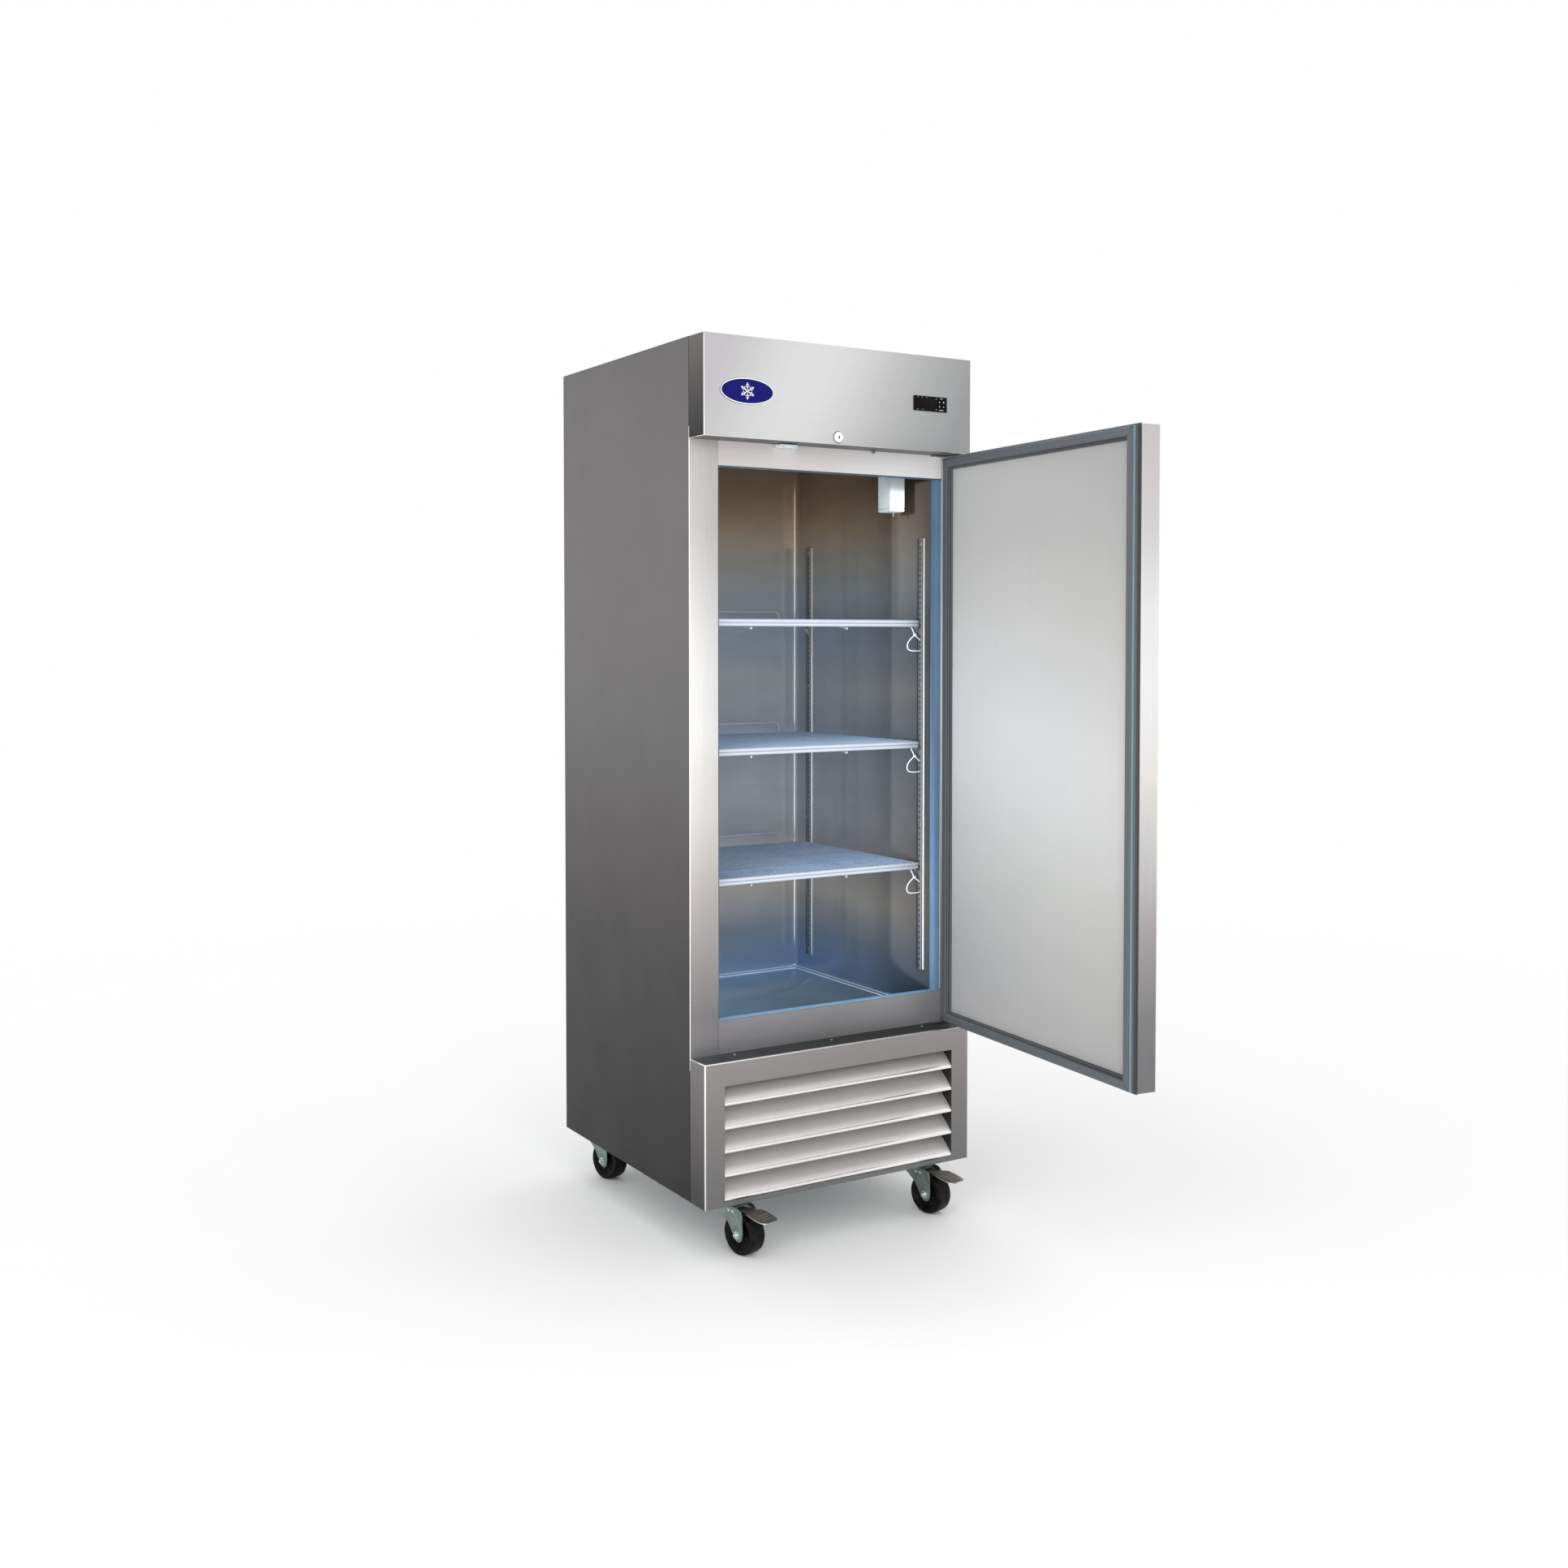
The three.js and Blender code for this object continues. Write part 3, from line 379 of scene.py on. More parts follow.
def blade_steel():
    """Louver blades with painted shading that repeats from one blade to the next."""
    look = Look("steel_blade", metallic=0.25)
    split = look.add("ShaderNodeSeparateXYZ")
    look.join(look.place, split.inputs[0])
    rows = look.number(split.outputs["Z"], BLADE_FOOT * MM, (BLADE_FOOT + BLADE_PITCH) * MM, 0.0, 1.0, clamp=False)
    part = look.add("ShaderNodeMath", operation="FRACT")
    look.join(rows, part.inputs[0])
    base = look.ramp(part.outputs[0], BLADE_TONES)
    fine = look.noise(GRAIN["x"], detail=4, roughness=0.7)
    smudge = look.noise(7, detail=5)
    base = look.shade(look.shade(base, fine, 0.97, 1.02), smudge, 0.985, 1.01)
    look.paint(base).gloss(smudge, 0.38, 0.48).relief(fine, 0.12, 0.05)
    return look.material


steel_blade = blade_steel()


def liner_steel():
    """Bright interior steel with painted light, warm at the top and blue at the floor, and painted shade, darker
    toward the opening and the right.
    """
    look = Look("steel_liner", metallic=0.38)
    base = look.graded(Z_AXIS, LINER_TONES)
    depth = look.ramp(look.along(Y_AXIS, -282, 300), LINER_DEPTH_SHADES)
    across = look.ramp(look.along(X_AXIS, -290, 60), [(0.0, "#ffffff"), (1.0, "#cecece")])
    for shade in (depth, across):
        base = look.mix("MULTIPLY", 1.0, base, shade)
    cloud = look.noise((3, 3, 5), detail=4, distortion=0.8)
    band = look.noise((1.5, 1.5, 11), detail=3)
    fine = look.noise(GRAIN["z"], detail=3)
    base = look.shade(base, cloud, 0.9, 1.08)
    base = look.shade(base, band, 0.92, 1.06)
    base = look.shade(base, fine, 0.97, 1.02)
    look.paint(base).gloss(cloud, 0.07, 0.13).relief(fine, 0.03, 0.02)
    return look.material


steel_liner = liner_steel()
zinc_sheet = galvanised("zinc_sheet", "#a3abab")
zinc_dark = galvanised("zinc_dark", "#8b9190")
zinc_plate = plated("zinc_plate", "#74827f", 0.34)
zinc_bright = plated("zinc_bright", "#cfd6d4", 0.22)
black_rubber = rubber("black_rubber", "#040404", 0.45, specular=0.12)
seal_grey_and_shadow = rubber("seal_grey_and_shadow", "#5f6469", 0.5)
# Painted highlight lines on the seal.
gasket_blue_highlight = plastic("gasket_blue_highlight", "#6a8794", 0.4, Specular_IOR_Level=0.25)
gasket_shade = rubber("gasket_shade", "#4c4d4b", 0.55, specular=0.15)
coat_white = plastic("coat_white", "#90969f", 0.32, grain=500, depth=0.08, wear=0.04)
# Painted shade and blue reflection on the white-coated deck wires.
coat_shade_blue = plastic("coat_shade_blue", "#8ca1bc", 0.3, grain=500, depth=0.08, wear=0.04)
enamel_white = plastic("enamel_white", "#dcdfe0", 0.36)
switch_white = plastic("switch_white", "#e4ebef", 0.34)
tie_white = plastic("tie_white", "#d9e2ee", 0.35)
lamp_grey = plastic("lamp_grey", "#bcc7cd", 0.25, wear=0.05, Transmission_Weight=0.15)
bulb_glass = plastic("bulb_glass", "#f1f2ee", 0.18, Transmission_Weight=0.3)
strip_blue = plastic("strip_blue", "#6b8cab", 0.38, wear=0.08, Specular_IOR_Level=0.3)
# Painted highlight for the bright bead on the opening's hinge side.
bead_highlight = plastic("bead_highlight", "#a9bccb", 0.3)
strip_grey = plastic("strip_grey", "#565a5a", 0.4, Specular_IOR_Level=0.15)
upright_face = brushed("upright_face", Z_AXIS, UPRIGHT_TONES, "z", roughness=0.4, metallic=0.1, contrast=0.5)
# Painted highlight on the front pilasters' flanges.
flange_highlight = plastic("flange_highlight", "#ffffff", 0.35, wear=0.02)
steel_flange = brushed("steel_flange", Z_AXIS, FLANGE_TONES, "z", metallic=0.5)
# Painted highlight for the light lines along the floor's cove.
cove_highlight = plastic("cove_highlight", "#d8e6f6", 0.3, wear=0.03)
# Painted reflection: the chrome lock drawn in plain white.
lock_highlight_white = plastic("lock_highlight_white", "#ffffff", 0.2, wear=0.02)
pedal_grey = galvanised("pedal_grey", "#8a847e", 140)
case_black = plastic("case_black", "#0a090d", 0.3, depth=0.05, Specular_IOR_Level=0.1)
fan_black = plastic("fan_black", "#24262a", 0.45)
enamel_black = plastic("enamel_black", "#1b1c1f", 0.3, grain=300, depth=0.1)
window_red = plastic("window_red", "#080103", 0.12, grain=2000, depth=0.01, wear=0.02, Specular_IOR_Level=0.12)
segment_red = plastic("segment_red", "#260608", 0.3, Specular_IOR_Level=0.1)
icon_white = plastic("icon_white", "#d9dcdd", 0.4)
badge_blue = plastic("badge_blue", "#101069", 0.25, grain=1200, depth=0.02, wear=0.03, Specular_IOR_Level=0.12)
badge_silver = plastic("badge_silver", "#ffffff", 0.2, wear=0.02)
foam_cream = plastic("foam_cream", "#d9c98f", 0.9, grain=160, depth=0.6, wear=0.12)
fin_metal = brushed("fin_metal", Z_AXIS, [(0, "#b9bfc1"), (1928, "#c4cacb")], "z", roughness=0.4)
fin_copper = brushed("fin_copper", Z_AXIS, [(0, "#8f7a66"), (300, "#a78d74")], "z", roughness=0.45)
# Dark gaps at the frame joints, and painted shade behind slots, in screw recesses and in the keyway.
dark_gap_and_shade = plastic("dark_gap_and_shade", "#08080a", 0.7, Specular_IOR_Level=0.1)
screw_steel = plated("screw_steel", "#b9bfc1", 0.26)
# Dark grey for the badge's sides and the painted shadow ring round the lock.
dark_grey_and_shadow = plastic("dark_grey_and_shadow", "#6a6c6e", 0.4, Specular_IOR_Level=0.2)


# Mesh building --------------------------------------------------------------------------------------------------

BOX_FACES = {
    "-x": (0, 1, 3, 2), "+x": (4, 6, 7, 5), "-y": (0, 4, 5, 1), "+y": (2, 3, 7, 6), "-z": (0, 2, 6, 4),
    "+z": (1, 5, 7, 3),
}
PLANE = {"x": (1, 2, 0), "y": (0, 2, 1), "z": (0, 1, 2)}


def placed(axis, a, b, along):
    """A point from two in-plane coordinates, in X, Y, Z order, and one along the axis."""
    point = [0.0, 0.0, 0.0]
    for index, value in zip(PLANE[axis], (a, b, along)):
        point[index] = value
    return tuple(point)


class Form:
    """Collects the points and faces of one piece, in millimetres."""

    def __init__(self):
        self.points, self.faces, self.marks = [], [], []

    def add(self, points, faces, mark=0):
        start = len(self.points)
        self.points += [tuple(p) for p in points]
        self.faces += [[start + i for i in face] for face in faces]
        self.marks += [mark] * len(faces)
        return self

    def box(self, x, y, z, mark=0):
        return self.add([(a, b, c) for a in x for b in y for c in z], BOX_FACES.values(), mark)

    def loft(self, rings, mark=0, caps=(True, True), marks=None):
        """Skins a row of rings with the same count of points; marks gives each band its own material."""
        count = len(rings[0])
        start = len(self.points)
        self.points += [tuple(p) for ring in rings for p in ring]
        for r in range(len(rings) - 1):
            band = mark if marks is None else marks[r]
            for i in range(count):
                j = (i + 1) % count
                a, b = start + r * count, start + (r + 1) * count
                self.faces.append([a + i, a + j, b + j, b + i])
                self.marks.append(band)
        for cap, ring in zip(caps, (0, len(rings) - 1)):
            if cap:
                self.faces.append([start + ring * count + i for i in range(count)])
                self.marks.append(mark if marks is None else marks[0 if ring == 0 else -1])
        return self

    def prism(self, shape, axis, low, high, mark=0):
        return self.loft([[placed(axis, a, b, at) for a, b in shape] for at in (low, high)], mark)

    def tube(self, path, radius, sides, mark=0):
        """A round rod along a path of points."""
        path = [Vector(p) for p in path]
        count = len(path)
        turn = [2 * math.pi * k / sides for k in range(sides)]
        rings, side = [], None
        for i, point in enumerate(path):
            before = path[i - 1] if i else point
            after = path[i + 1] if i < count - 1 else point
            tangent = (after - before).normalized()
            if side is None:
                side = tangent.orthogonal().normalized()
            side = (side - tangent * side.dot(tangent)).normalized()
            other = tangent.cross(side)
            rings.append([point + radius * (math.cos(t) * side + math.sin(t) * other) for t in turn])
        return self.loft(rings, mark)

    def lathe(self, profile, origin, axis, sides, close=False):
        """(radius, height) pairs turned about an axis through origin; close joins the last pair to the first."""
        origin = Vector(origin)
        turn = [2 * math.pi * k / sides for k in range(sides)]
        rings = []
        for radius, height in profile + ([profile[0]] if close else []):
            rings.append([
                origin + Vector(placed(axis, radius * math.cos(t), radius * math.sin(t), height)) for t in turn
            ])
        return self.loft(rings, caps=(not close, not close))


def rounded_path(points, radius, steps=4, closed=False):
    """A path with its corners turned into curves."""
    points = [Vector(p) for p in points]
    count = len(points)
    out = []
    for i, corner in enumerate(points):
        if not closed and i in (0, count - 1):
            out.append(corner)
            continue
        before, after = points[i - 1], points[(i + 1) % count]
        reach = min(radius, (before - corner).length * 0.49, (after - corner).length * 0.49)
        start = corner + (before - corner).normalized() * reach
        end = corner + (after - corner).normalized() * reach
        for k in range(steps + 1):
            t = k / steps
            out.append(start * (1 - t) ** 2 + corner * 2 * t * (1 - t) + end * t * t)
    return out


def round_rect(a, b, radius, steps=4):
    """Outline of a rounded rectangle over ranges a and b."""
    corners = [(a[0], b[0], 0), (a[1], b[0], 0), (a[1], b[1], 0), (a[0], b[1], 0)]
    return [(p.x, p.y) for p in rounded_path(corners, radius, steps, closed=True)]


def mesh_of(name, form, looks):
    """A Blender mesh of a form, in metres, with its finishes."""
    mesh = bpy.data.meshes.new(name)
    mesh.from_pydata([[c * MM for c in p] for p in form.points], [], form.faces)
    for polygon, mark in zip(mesh.polygons, form.marks):
        polygon.material_index = mark
    for look in looks:
        mesh.materials.append(look)
    return mesh


def smooth_by_angle(mesh, degrees):
    """Shades a mesh smooth, apart from edges that turn by more than an angle."""
    work = bmesh.new()
    work.from_mesh(mesh)
    bmesh.ops.remove_doubles(work, verts=work.verts, dist=1e-6)
    bmesh.ops.recalc_face_normals(work, faces=work.faces)
    for face in work.faces:
        face.smooth = True
    for edge in work.edges:
        if len(edge.link_faces) == 2:
            edge.smooth = edge.calc_face_angle() < math.radians(degrees)
    work.to_mesh(mesh)
    work.free()


def bevelled(obj, width, angle=32):
    modifier = obj.modifiers.new("bevel", "BEVEL")
    modifier.width = width * MM
    modifier.segments = 2
    modifier.limit_method = "ANGLE"
    modifier.angle_limit = math.radians(angle)
    modifier.harden_normals = True


def thickened(obj, sheet):
    modifier = obj.modifiers.new("sheet", "SOLIDIFY")
    modifier.thickness = sheet * MM
    modifier.offset = -1


def settle(obj, body, stands_for=(), matrix=None):
    """Puts a made object in the scene on its body."""
    scene.collection.objects.link(obj)
    if matrix is not None:
        obj.matrix_world = matrix
    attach(obj, body)
    if stands_for:
        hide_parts(*stands_for)
    return obj


def piece(name, form, body, looks, bevel=0.0, stands_for=(), matrix=None, angle=32):
    """Makes an object of a form; edges over angle degrees stay sharp and take the bevel."""
    mesh = mesh_of(name, form, looks)
    smooth_by_angle(mesh, angle)
    obj = bpy.data.objects.new(name, mesh)
    if bevel:
        bevelled(obj, bevel, angle)
    return settle(obj, body, stands_for, matrix)


FOLDED_SHEET = 1.2


def folded_sheet(name, x, y, z, missing, looks, body, slot, fold, marks, stands_for, hole=None, matrix=None):
    """A folded sheet-metal box with rounded folds.

    missing lists its open sides, looks[1] is the painted highlight on the folds and hole is an (x, z) window in its -y
    face.
    """
    form = Form()
    corners = [(a, b, c) for a in x for b in y for c in z]
    for side, face in BOX_FACES.items():
        if side in missing:
            continue
        if side == "-y" and hole:
            (x0, x1), (z0, z1) = hole
            ring = [(x0, y[0], z0), (x1, y[0], z0), (x1, y[0], z1), (x0, y[0], z1)]
            outer = [corners[i] for i in face]
            form.add(outer + ring, [(i, (i + 1) % 4, 4 + (i + 1) % 4, 4 + i) for i in range(4)], marks.get(side, 0))
        else:
            form.add([corners[i] for i in face], [(0, 1, 2, 3)], marks.get(side, 0))
    mesh = mesh_of(name, form, looks)
    work = bmesh.new()
    work.from_mesh(mesh)
    bmesh.ops.remove_doubles(work, verts=work.verts, dist=1e-6)
    folds = [e for e in work.edges if len(e.link_faces) == 2 and e.calc_face_angle() > 1]
    made = bmesh.ops.bevel(
        work, geom=folds, offset=fold * MM, offset_type="OFFSET", segments=3, profile=0.5, affect="EDGES", material=1,
    )
    for face in work.faces:
        face.smooth = face in made["faces"]
    for edge in work.edges:
        edge.smooth = True
    work.to_mesh(mesh)
    work.free()
    obj = bpy.data.objects.new(name, mesh)
    thickened(obj, FOLDED_SHEET)
    return settle(obj, body, stands_for, matrix)


def hexagon(radius):
    return [(radius * math.cos(math.pi * k / 3), radius * math.sin(math.pi * k / 3)) for k in range(6)]


def screw_head(form, at, axis, sign, radius, rise):
    """A pan-head screw with a cross of finish 1, painted shade standing for its recess, the screw standing proud along
    sign times the axis.
    """
    profile = [(radius, 0), (radius, rise * 0.35), (radius * 0.82, rise * 0.8), (radius * 0.45, rise), (0.01, rise)]
    form.lathe([(r, sign * h) for r, h in profile], at, axis, 16)
    a, b, along = (at[i] for i in PLANE[axis])
    top = sorted((along + sign * rise * 0.7, along + sign * (rise + 0.12)))
    arm, wide = radius * 0.55, radius * 0.13
    for p, q in ((arm, wide), (wide, arm)):
        form.prism([(a - p, b - q), (a + p, b - q), (a + p, b + q), (a - p, b + q)], axis, *top, 1)


def hex_bolt(form, at, axis, sign, radius, rise, washer):
    """A hexagon head on a washer, standing proud along sign times the axis."""
    a, b, along = (at[i] for i in PLANE[axis])
    form.lathe([(washer, 0), (washer, sign * 1.4), (radius, sign * 1.6), (0.01, sign * 1.6)], at, axis, 24)
    low = along + sign * 1.4
    form.loft([
        [placed(axis, a + p * scale, b + q * scale, low + sign * rise * step) for p, q in hexagon(radius)]
        for scale, step in ((1.0, 0.0), (1.0, 0.8), (0.9, 1.0))
    ])


# The door is drawn closed and placed open
door_joint = next(j for j in frame["joints"] if j["name"] == "door_swing")
pivot = Vector(door_joint["pos_m"])
DOOR_OPEN = (
    Matrix.Translation(pivot)
    @ Matrix.Rotation(math.radians(-door_joint["range_deg"][0]), 4, "Z")
    @ Matrix.Translation(-pivot)
)

header = span("header_panel")
louver = span("louver_grille")
frame_plate = span("front_frame")
strip = span("breaker_strip")
side = span("left_side_panel")
FRONT_Y = header[1][0]
FACE_Y = frame_plate[1][0]
HALF = header[0][1]
REAR_Y = side[1][1]
HEADER_BOTTOM, HEIGHT = header[2]
LOUVER_TOP = louver[2][1]
OPENING_X = (strip[0][0] - 0.3, strip[0][1] + 0.3)
OPENING_Z = (strip[2][0] - 0.3, strip[2][1] + 0.3)


# Cabinet --------------------------------------------------------------------------------------------------------

folded_sheet(
    "header_shell", *header, ("+y",), [steel_header, steel_edge_highlight, steel_header_side, steel_shade], "root",
    "stainless_front", fold=1.3, marks={"-x": 2, "+x": 2, "-z": 3, "+z": 2}, stands_for=["header_panel"],
)

LOUVER_WINDOW = ((-314, 314), (12, 270))
folded_sheet(
    "louver_shell", *louver, ("+y", "-z"),
    [steel_louver, steel_edge_highlight, steel_louver_side, steel_ledge], "root", "stainless_front", fold=2.6,
    hole=LOUVER_WINDOW, marks={"-x": 2, "+x": 2, "+z": 3}, stands_for=["louver_grille"],
)

BLADES = 5
BLADE_REACH, BLADE_RISE = 52, 40


def louver_blades():
    """Blades with a rolled hem, each curving up and back."""
    form = Form()
    x = (LOUVER_WINDOW[0][0] + 0.6, LOUVER_WINDOW[0][1] - 0.6)
    for n in range(BLADES):
        foot = BLADE_FOOT + n * BLADE_PITCH
        outer = [(0.5, -5.2), (0.0, -3.4), (0.0, -1.0), (0.7, 0.9), (2.4, 2.6)]
        curve = [
            (2.4 + (BLADE_REACH - 2.4) * t, 2.6 + (BLADE_RISE - 2.6) * (t + 0.1 * math.sin(math.pi * t))) for t in
            (0.2, 0.4, 0.6, 0.8, 1.0)
        ]
        top = outer + curve
        under = [(a + 1.1, b - 1.1) for a, b in reversed(curve)] + [(3.0, 1.0), (1.6, -1.0), (1.6, -3.4), (1.7, -5.2)]
        shape = [(FRONT_Y + 0.4 + a, foot + b) for a, b in top + under]
        start = len(form.marks)
        form.prism(shape, "x", x[0], x[1])
        # The hem's front faces take the painted highlight.
        for i in range(4):
            form.marks[start + i] = 1
    piece("louver_blades", form, "root", [steel_blade, steel_edge_highlight])


louver_blades()


def louver_reveal():
    """The walls of the louver window."""
    form = Form()
    (x0, x1), (z0, z1) = LOUVER_WINDOW
    deep, shallow = [(FRONT_Y + 0.2, FRONT_Y + depth) for depth in (54, 12)]
    form.box((x0 - FOLDED_SHEET, x0), deep, (z0, z1))
    form.box((x1, x1 + FOLDED_SHEET), deep, (z0, z1))
    form.box((x0, x1), shallow, (z1, z1 + FOLDED_SHEET))
    form.box((x0, x1), shallow, (z0 - FOLDED_SHEET, z0))
    piece("louver_reveal", form, "root", [steel_shade], bevel=0.3)


louver_reveal()


def frame_plates():
    """Two stiles and two rails that butt with a fine joint; the outer stile edges are rolled."""
    y0, y1 = FACE_Y, FACE_Y + 1.5
    low, high = frame_plate[2]
    roll = [(1.4 * (1 - math.cos(t)), 1.4 * (1 - math.sin(t))) for t in (0, math.pi / 6, math.pi / 3, math.pi / 2)]
    for name, sign, inner in (("stile_left", -1, OPENING_X[0]), ("stile_right", 1, OPENING_X[1])):
        outer = sign * HALF
        shape = [(inner, y0), (inner, y1), (outer, y1)] + [(outer - sign * a, y0 + b) for a, b in roll]
        form = Form().prism(shape, "z", low, high)
        # The rolled outer edge faces take the painted highlight.
        for i in (2, 3, 4, 5):
            form.marks[i] = 1
        piece(name, form, "root", [steel_frame, steel_edge_highlight], stands_for=["front_frame"])
    upper, lower = (OPENING_Z[1], high), (low, OPENING_Z[0])
    for name, z, look in (("rail_top", upper, steel_rail), ("rail_bottom", lower, steel_low_rail)):
        form = Form().box((OPENING_X[0] + 0.5, OPENING_X[1] - 0.5), (y0, y1), z)
        piece(name, form, "root", [look, steel_edge_highlight], bevel=0.5)
    joint = Form()
    for x in OPENING_X:
        for z in (upper, lower):
            joint.box((x - 0.2, x + 0.7) if x < 0 else (x - 0.7, x + 0.2), (y0 + 0.7, y1 + 0.2), z)
    piece("frame_joints", joint, "root", [dark_gap_and_shade], bevel=0.1)


frame_plates()

def smooth_group():
    """A node group that shades smooth, with edges over 30 degrees kept sharp."""
    group = bpy.data.node_groups.new("shade_by_angle", "GeometryNodeTree")
    group.interface.new_socket("Geometry", in_out="INPUT", socket_type="NodeSocketGeometry")
    group.interface.new_socket("Geometry", in_out="OUTPUT", socket_type="NodeSocketGeometry")
    nodes, links = group.nodes, group.links
    source, target = nodes.new("NodeGroupInput"), nodes.new("NodeGroupOutput")
    faces, edges = nodes.new("GeometryNodeSetShadeSmooth"), nodes.new("GeometryNodeSetShadeSmooth")
    drop = nodes.new("GeometryNodeRemoveAttribute")
    drop.inputs["Name"].default_value = "custom_normal"
    faces.domain, edges.domain = "FACE", "EDGE"
    edges.inputs["Shade Smooth"].default_value = False
    angle = nodes.new("GeometryNodeInputMeshEdgeAngle")
    sharp = nodes.new("FunctionNodeCompare")
    sharp.inputs["B"].default_value = math.radians(30)
    links.new(angle.outputs["Unsigned Angle"], sharp.inputs["A"])
    links.new(sharp.outputs["Result"], edges.inputs["Selection"])
    links.new(source.outputs[0], drop.inputs["Geometry"])
    links.new(drop.outputs[0], faces.inputs["Geometry"])
    links.new(faces.outputs[0], edges.inputs["Geometry"])
    links.new(edges.outputs[0], target.inputs[0])
    return group


shade_by_angle = smooth_group()
WELD = 0.01


def carry(node, look, bevel=0.4, round_shape=False):
    """Keeps a CAD node, with a finish of its own and broken edges; round ones are shaded smooth as well."""
    obj = frame["nodes"][node]
    for holder in obj.material_slots:
        holder.material = look
    weld = obj.modifiers.new("weld", "WELD")
    weld.merge_threshold = WELD * MM
    if bevel:
        bevelled(obj, bevel)
        obj.modifiers["bevel"].harden_normals = not round_shape
    if round_shape:
        obj.modifiers.new("shading", "NODES").node_group = shade_by_angle


for name, look, bevel in (
    ("left_side_panel", steel_side, 0.5), ("right_side_panel", steel_side, 0.5), ("top_panel", zinc_sheet, 0.5),
    ("back_panel", zinc_sheet, 0.4), ("base_pan", zinc_sheet, 0.5), ("breaker_strip", strip_blue, 0.6),
    ("cabinet_insulation", foam_cream, 0.0), ("evaporator_housing", enamel_white, 0.6),
    ("evaporator_coil", fin_metal, 0.0), ("condenser_coil", fin_copper, 0.0), ("condenser_shroud", enamel_black, 0.6),
    ("hinge_top", zinc_dark, 0.7), ("hinge_bottom", zinc_dark, 0.7), ("lock_bolt", zinc_bright, 0.6),
    ("door_core", foam_cream, 0.0), ("controller", case_black, 0.7), ("door_switch", switch_white, 1.6),
    ("switch_plunger", switch_white, 1.2), ("key_up", case_black, 0.5), ("key_down", case_black, 0.5),
    ("key_set", case_black, 0.5), ("key_defrost", case_black, 0.5),
):
    carry(name, look, bevel)
for name, look, bevel in (
    ("evaporator_fan", fan_black, 0.4), ("condenser_fan", fan_black, 0.4), ("compressor", enamel_black, 0.0),
    ("lock_housing", lock_highlight_white, 0.8), ("lock_barrel", lock_highlight_white, 0.4), ("lamp_bulb", bulb_glass, 0.0),
    ("power_inlet", case_black, 0.8),
):
    carry(name, look, bevel, round_shape=True)


LINER_SHEET, LINER_COVE = 1.5, 13


def liner():
    """The interior as one sheet box with coved corners, and a lip behind the face frame."""
    x, y, z = [(low + LINER_SHEET, high - LINER_SHEET) for low, high in span("interior_liner")]
    lip_y = (y[0] - LINER_SHEET, y[0] - 0.2)
    form = Form()
    corners = [(a, b, c) for a in x for b in y for c in z]
    for side_name, face in BOX_FACES.items():
        if side_name != "-y":
            form.add([corners[i] for i in reversed(face)], [(0, 1, 2, 3)])
    mesh = mesh_of("liner_shell", form, [steel_liner])
    work = bmesh.new()
    work.from_mesh(mesh)
    bmesh.ops.remove_doubles(work, verts=work.verts, dist=1e-6)
    folds = [e for e in work.edges if len(e.link_faces) == 2]
    bmesh.ops.bevel(
        work, geom=folds, offset=LINER_COVE * MM, offset_type="OFFSET", segments=5, profile=0.5, affect="EDGES",
    )
    for face in work.faces:
        face.smooth = True
    for edge in work.edges:
        if len(edge.link_faces) == 2 and edge.calc_face_angle() > 0.5:
            edge.smooth = False
    work.to_mesh(mesh)
    work.free()
    obj = bpy.data.objects.new("liner_shell", mesh)
    thickened(obj, LINER_SHEET)
    settle(obj, "root", ["interior_liner"])
    # Painted highlights: two light lines along the floor's cove.
    cove_lines = Form()
    for rise, inset, size in ((1.7, 8.6, 1.6), (6.4, 2.6, 1.1)):
        left, right, front, rear, low = x[0] + inset, x[1] - inset, y[0] + 2, y[1] - inset, z[0] + rise
        path = [(left, front, low), (left, rear, low), (right, rear, low), (right, front, low)]
        cove_lines.tube(rounded_path(path, 9, 3), size, 8)
    piece("floor_cove_highlights", cove_lines, "root", [cove_highlight])
    lip = Form()
    lip.box((x[0] - 1, x[1] + 1), lip_y, (OPENING_Z[1], z[1]))
    lip.box((x[0] - 1, x[1] + 1), lip_y, (z[0], OPENING_Z[0]))
    lip.box((x[0] - 1, OPENING_X[0]), lip_y, OPENING_Z)
    piece("liner_lip", lip, "root", [steel_liner], bevel=0.4)


liner()


def opening_beads():
    """A painted highlight as a bright bead along the hinge side of the opening, a blue one at its foot and a grey one
    round the rest.
    """
    inset = 1.6
    left, right, foot, head = OPENING_X[0] + inset, OPENING_X[1] - inset, OPENING_Z[0] + inset, OPENING_Z[1] - inset
    bright_y, y = FACE_Y + 0.4, FACE_Y + 0.9
    bright = [(right, bright_y, OPENING_Z[0] + 4), (right, bright_y, OPENING_Z[1] - 4)]
    rest = rounded_path([(left, y, foot + 2), (left, y, head), (right, y, head)], 3, 3)
    for name, path, radius, look in (
        ("opening_highlight_bead", bright, 1.3, bead_highlight),
        ("opening_trim_foot", [(left, y, foot), (right, y, foot)], 1.2, strip_blue),
        ("opening_trim", rest, 1.0, strip_grey),
    ):
        piece(name, Form().tube(path, radius, 8), "root", [look])


opening_beads()


# Pilasters, clips, screws ---------------------------------------------------------------------------------------

SHELVES = {"upper": 1298, "middle": 1001, "lower": 703}
SLOT_PITCH, SLOT_HEIGHT, SLOT_HALF, FIRST_SLOT = 13.5, 6.0, 2.0, 8
UPRIGHT_DEPTH, UPRIGHT_SHEET, UPRIGHT_SCREWS = 5.6, 1.1, 4
CLIP_DROP = 9.4


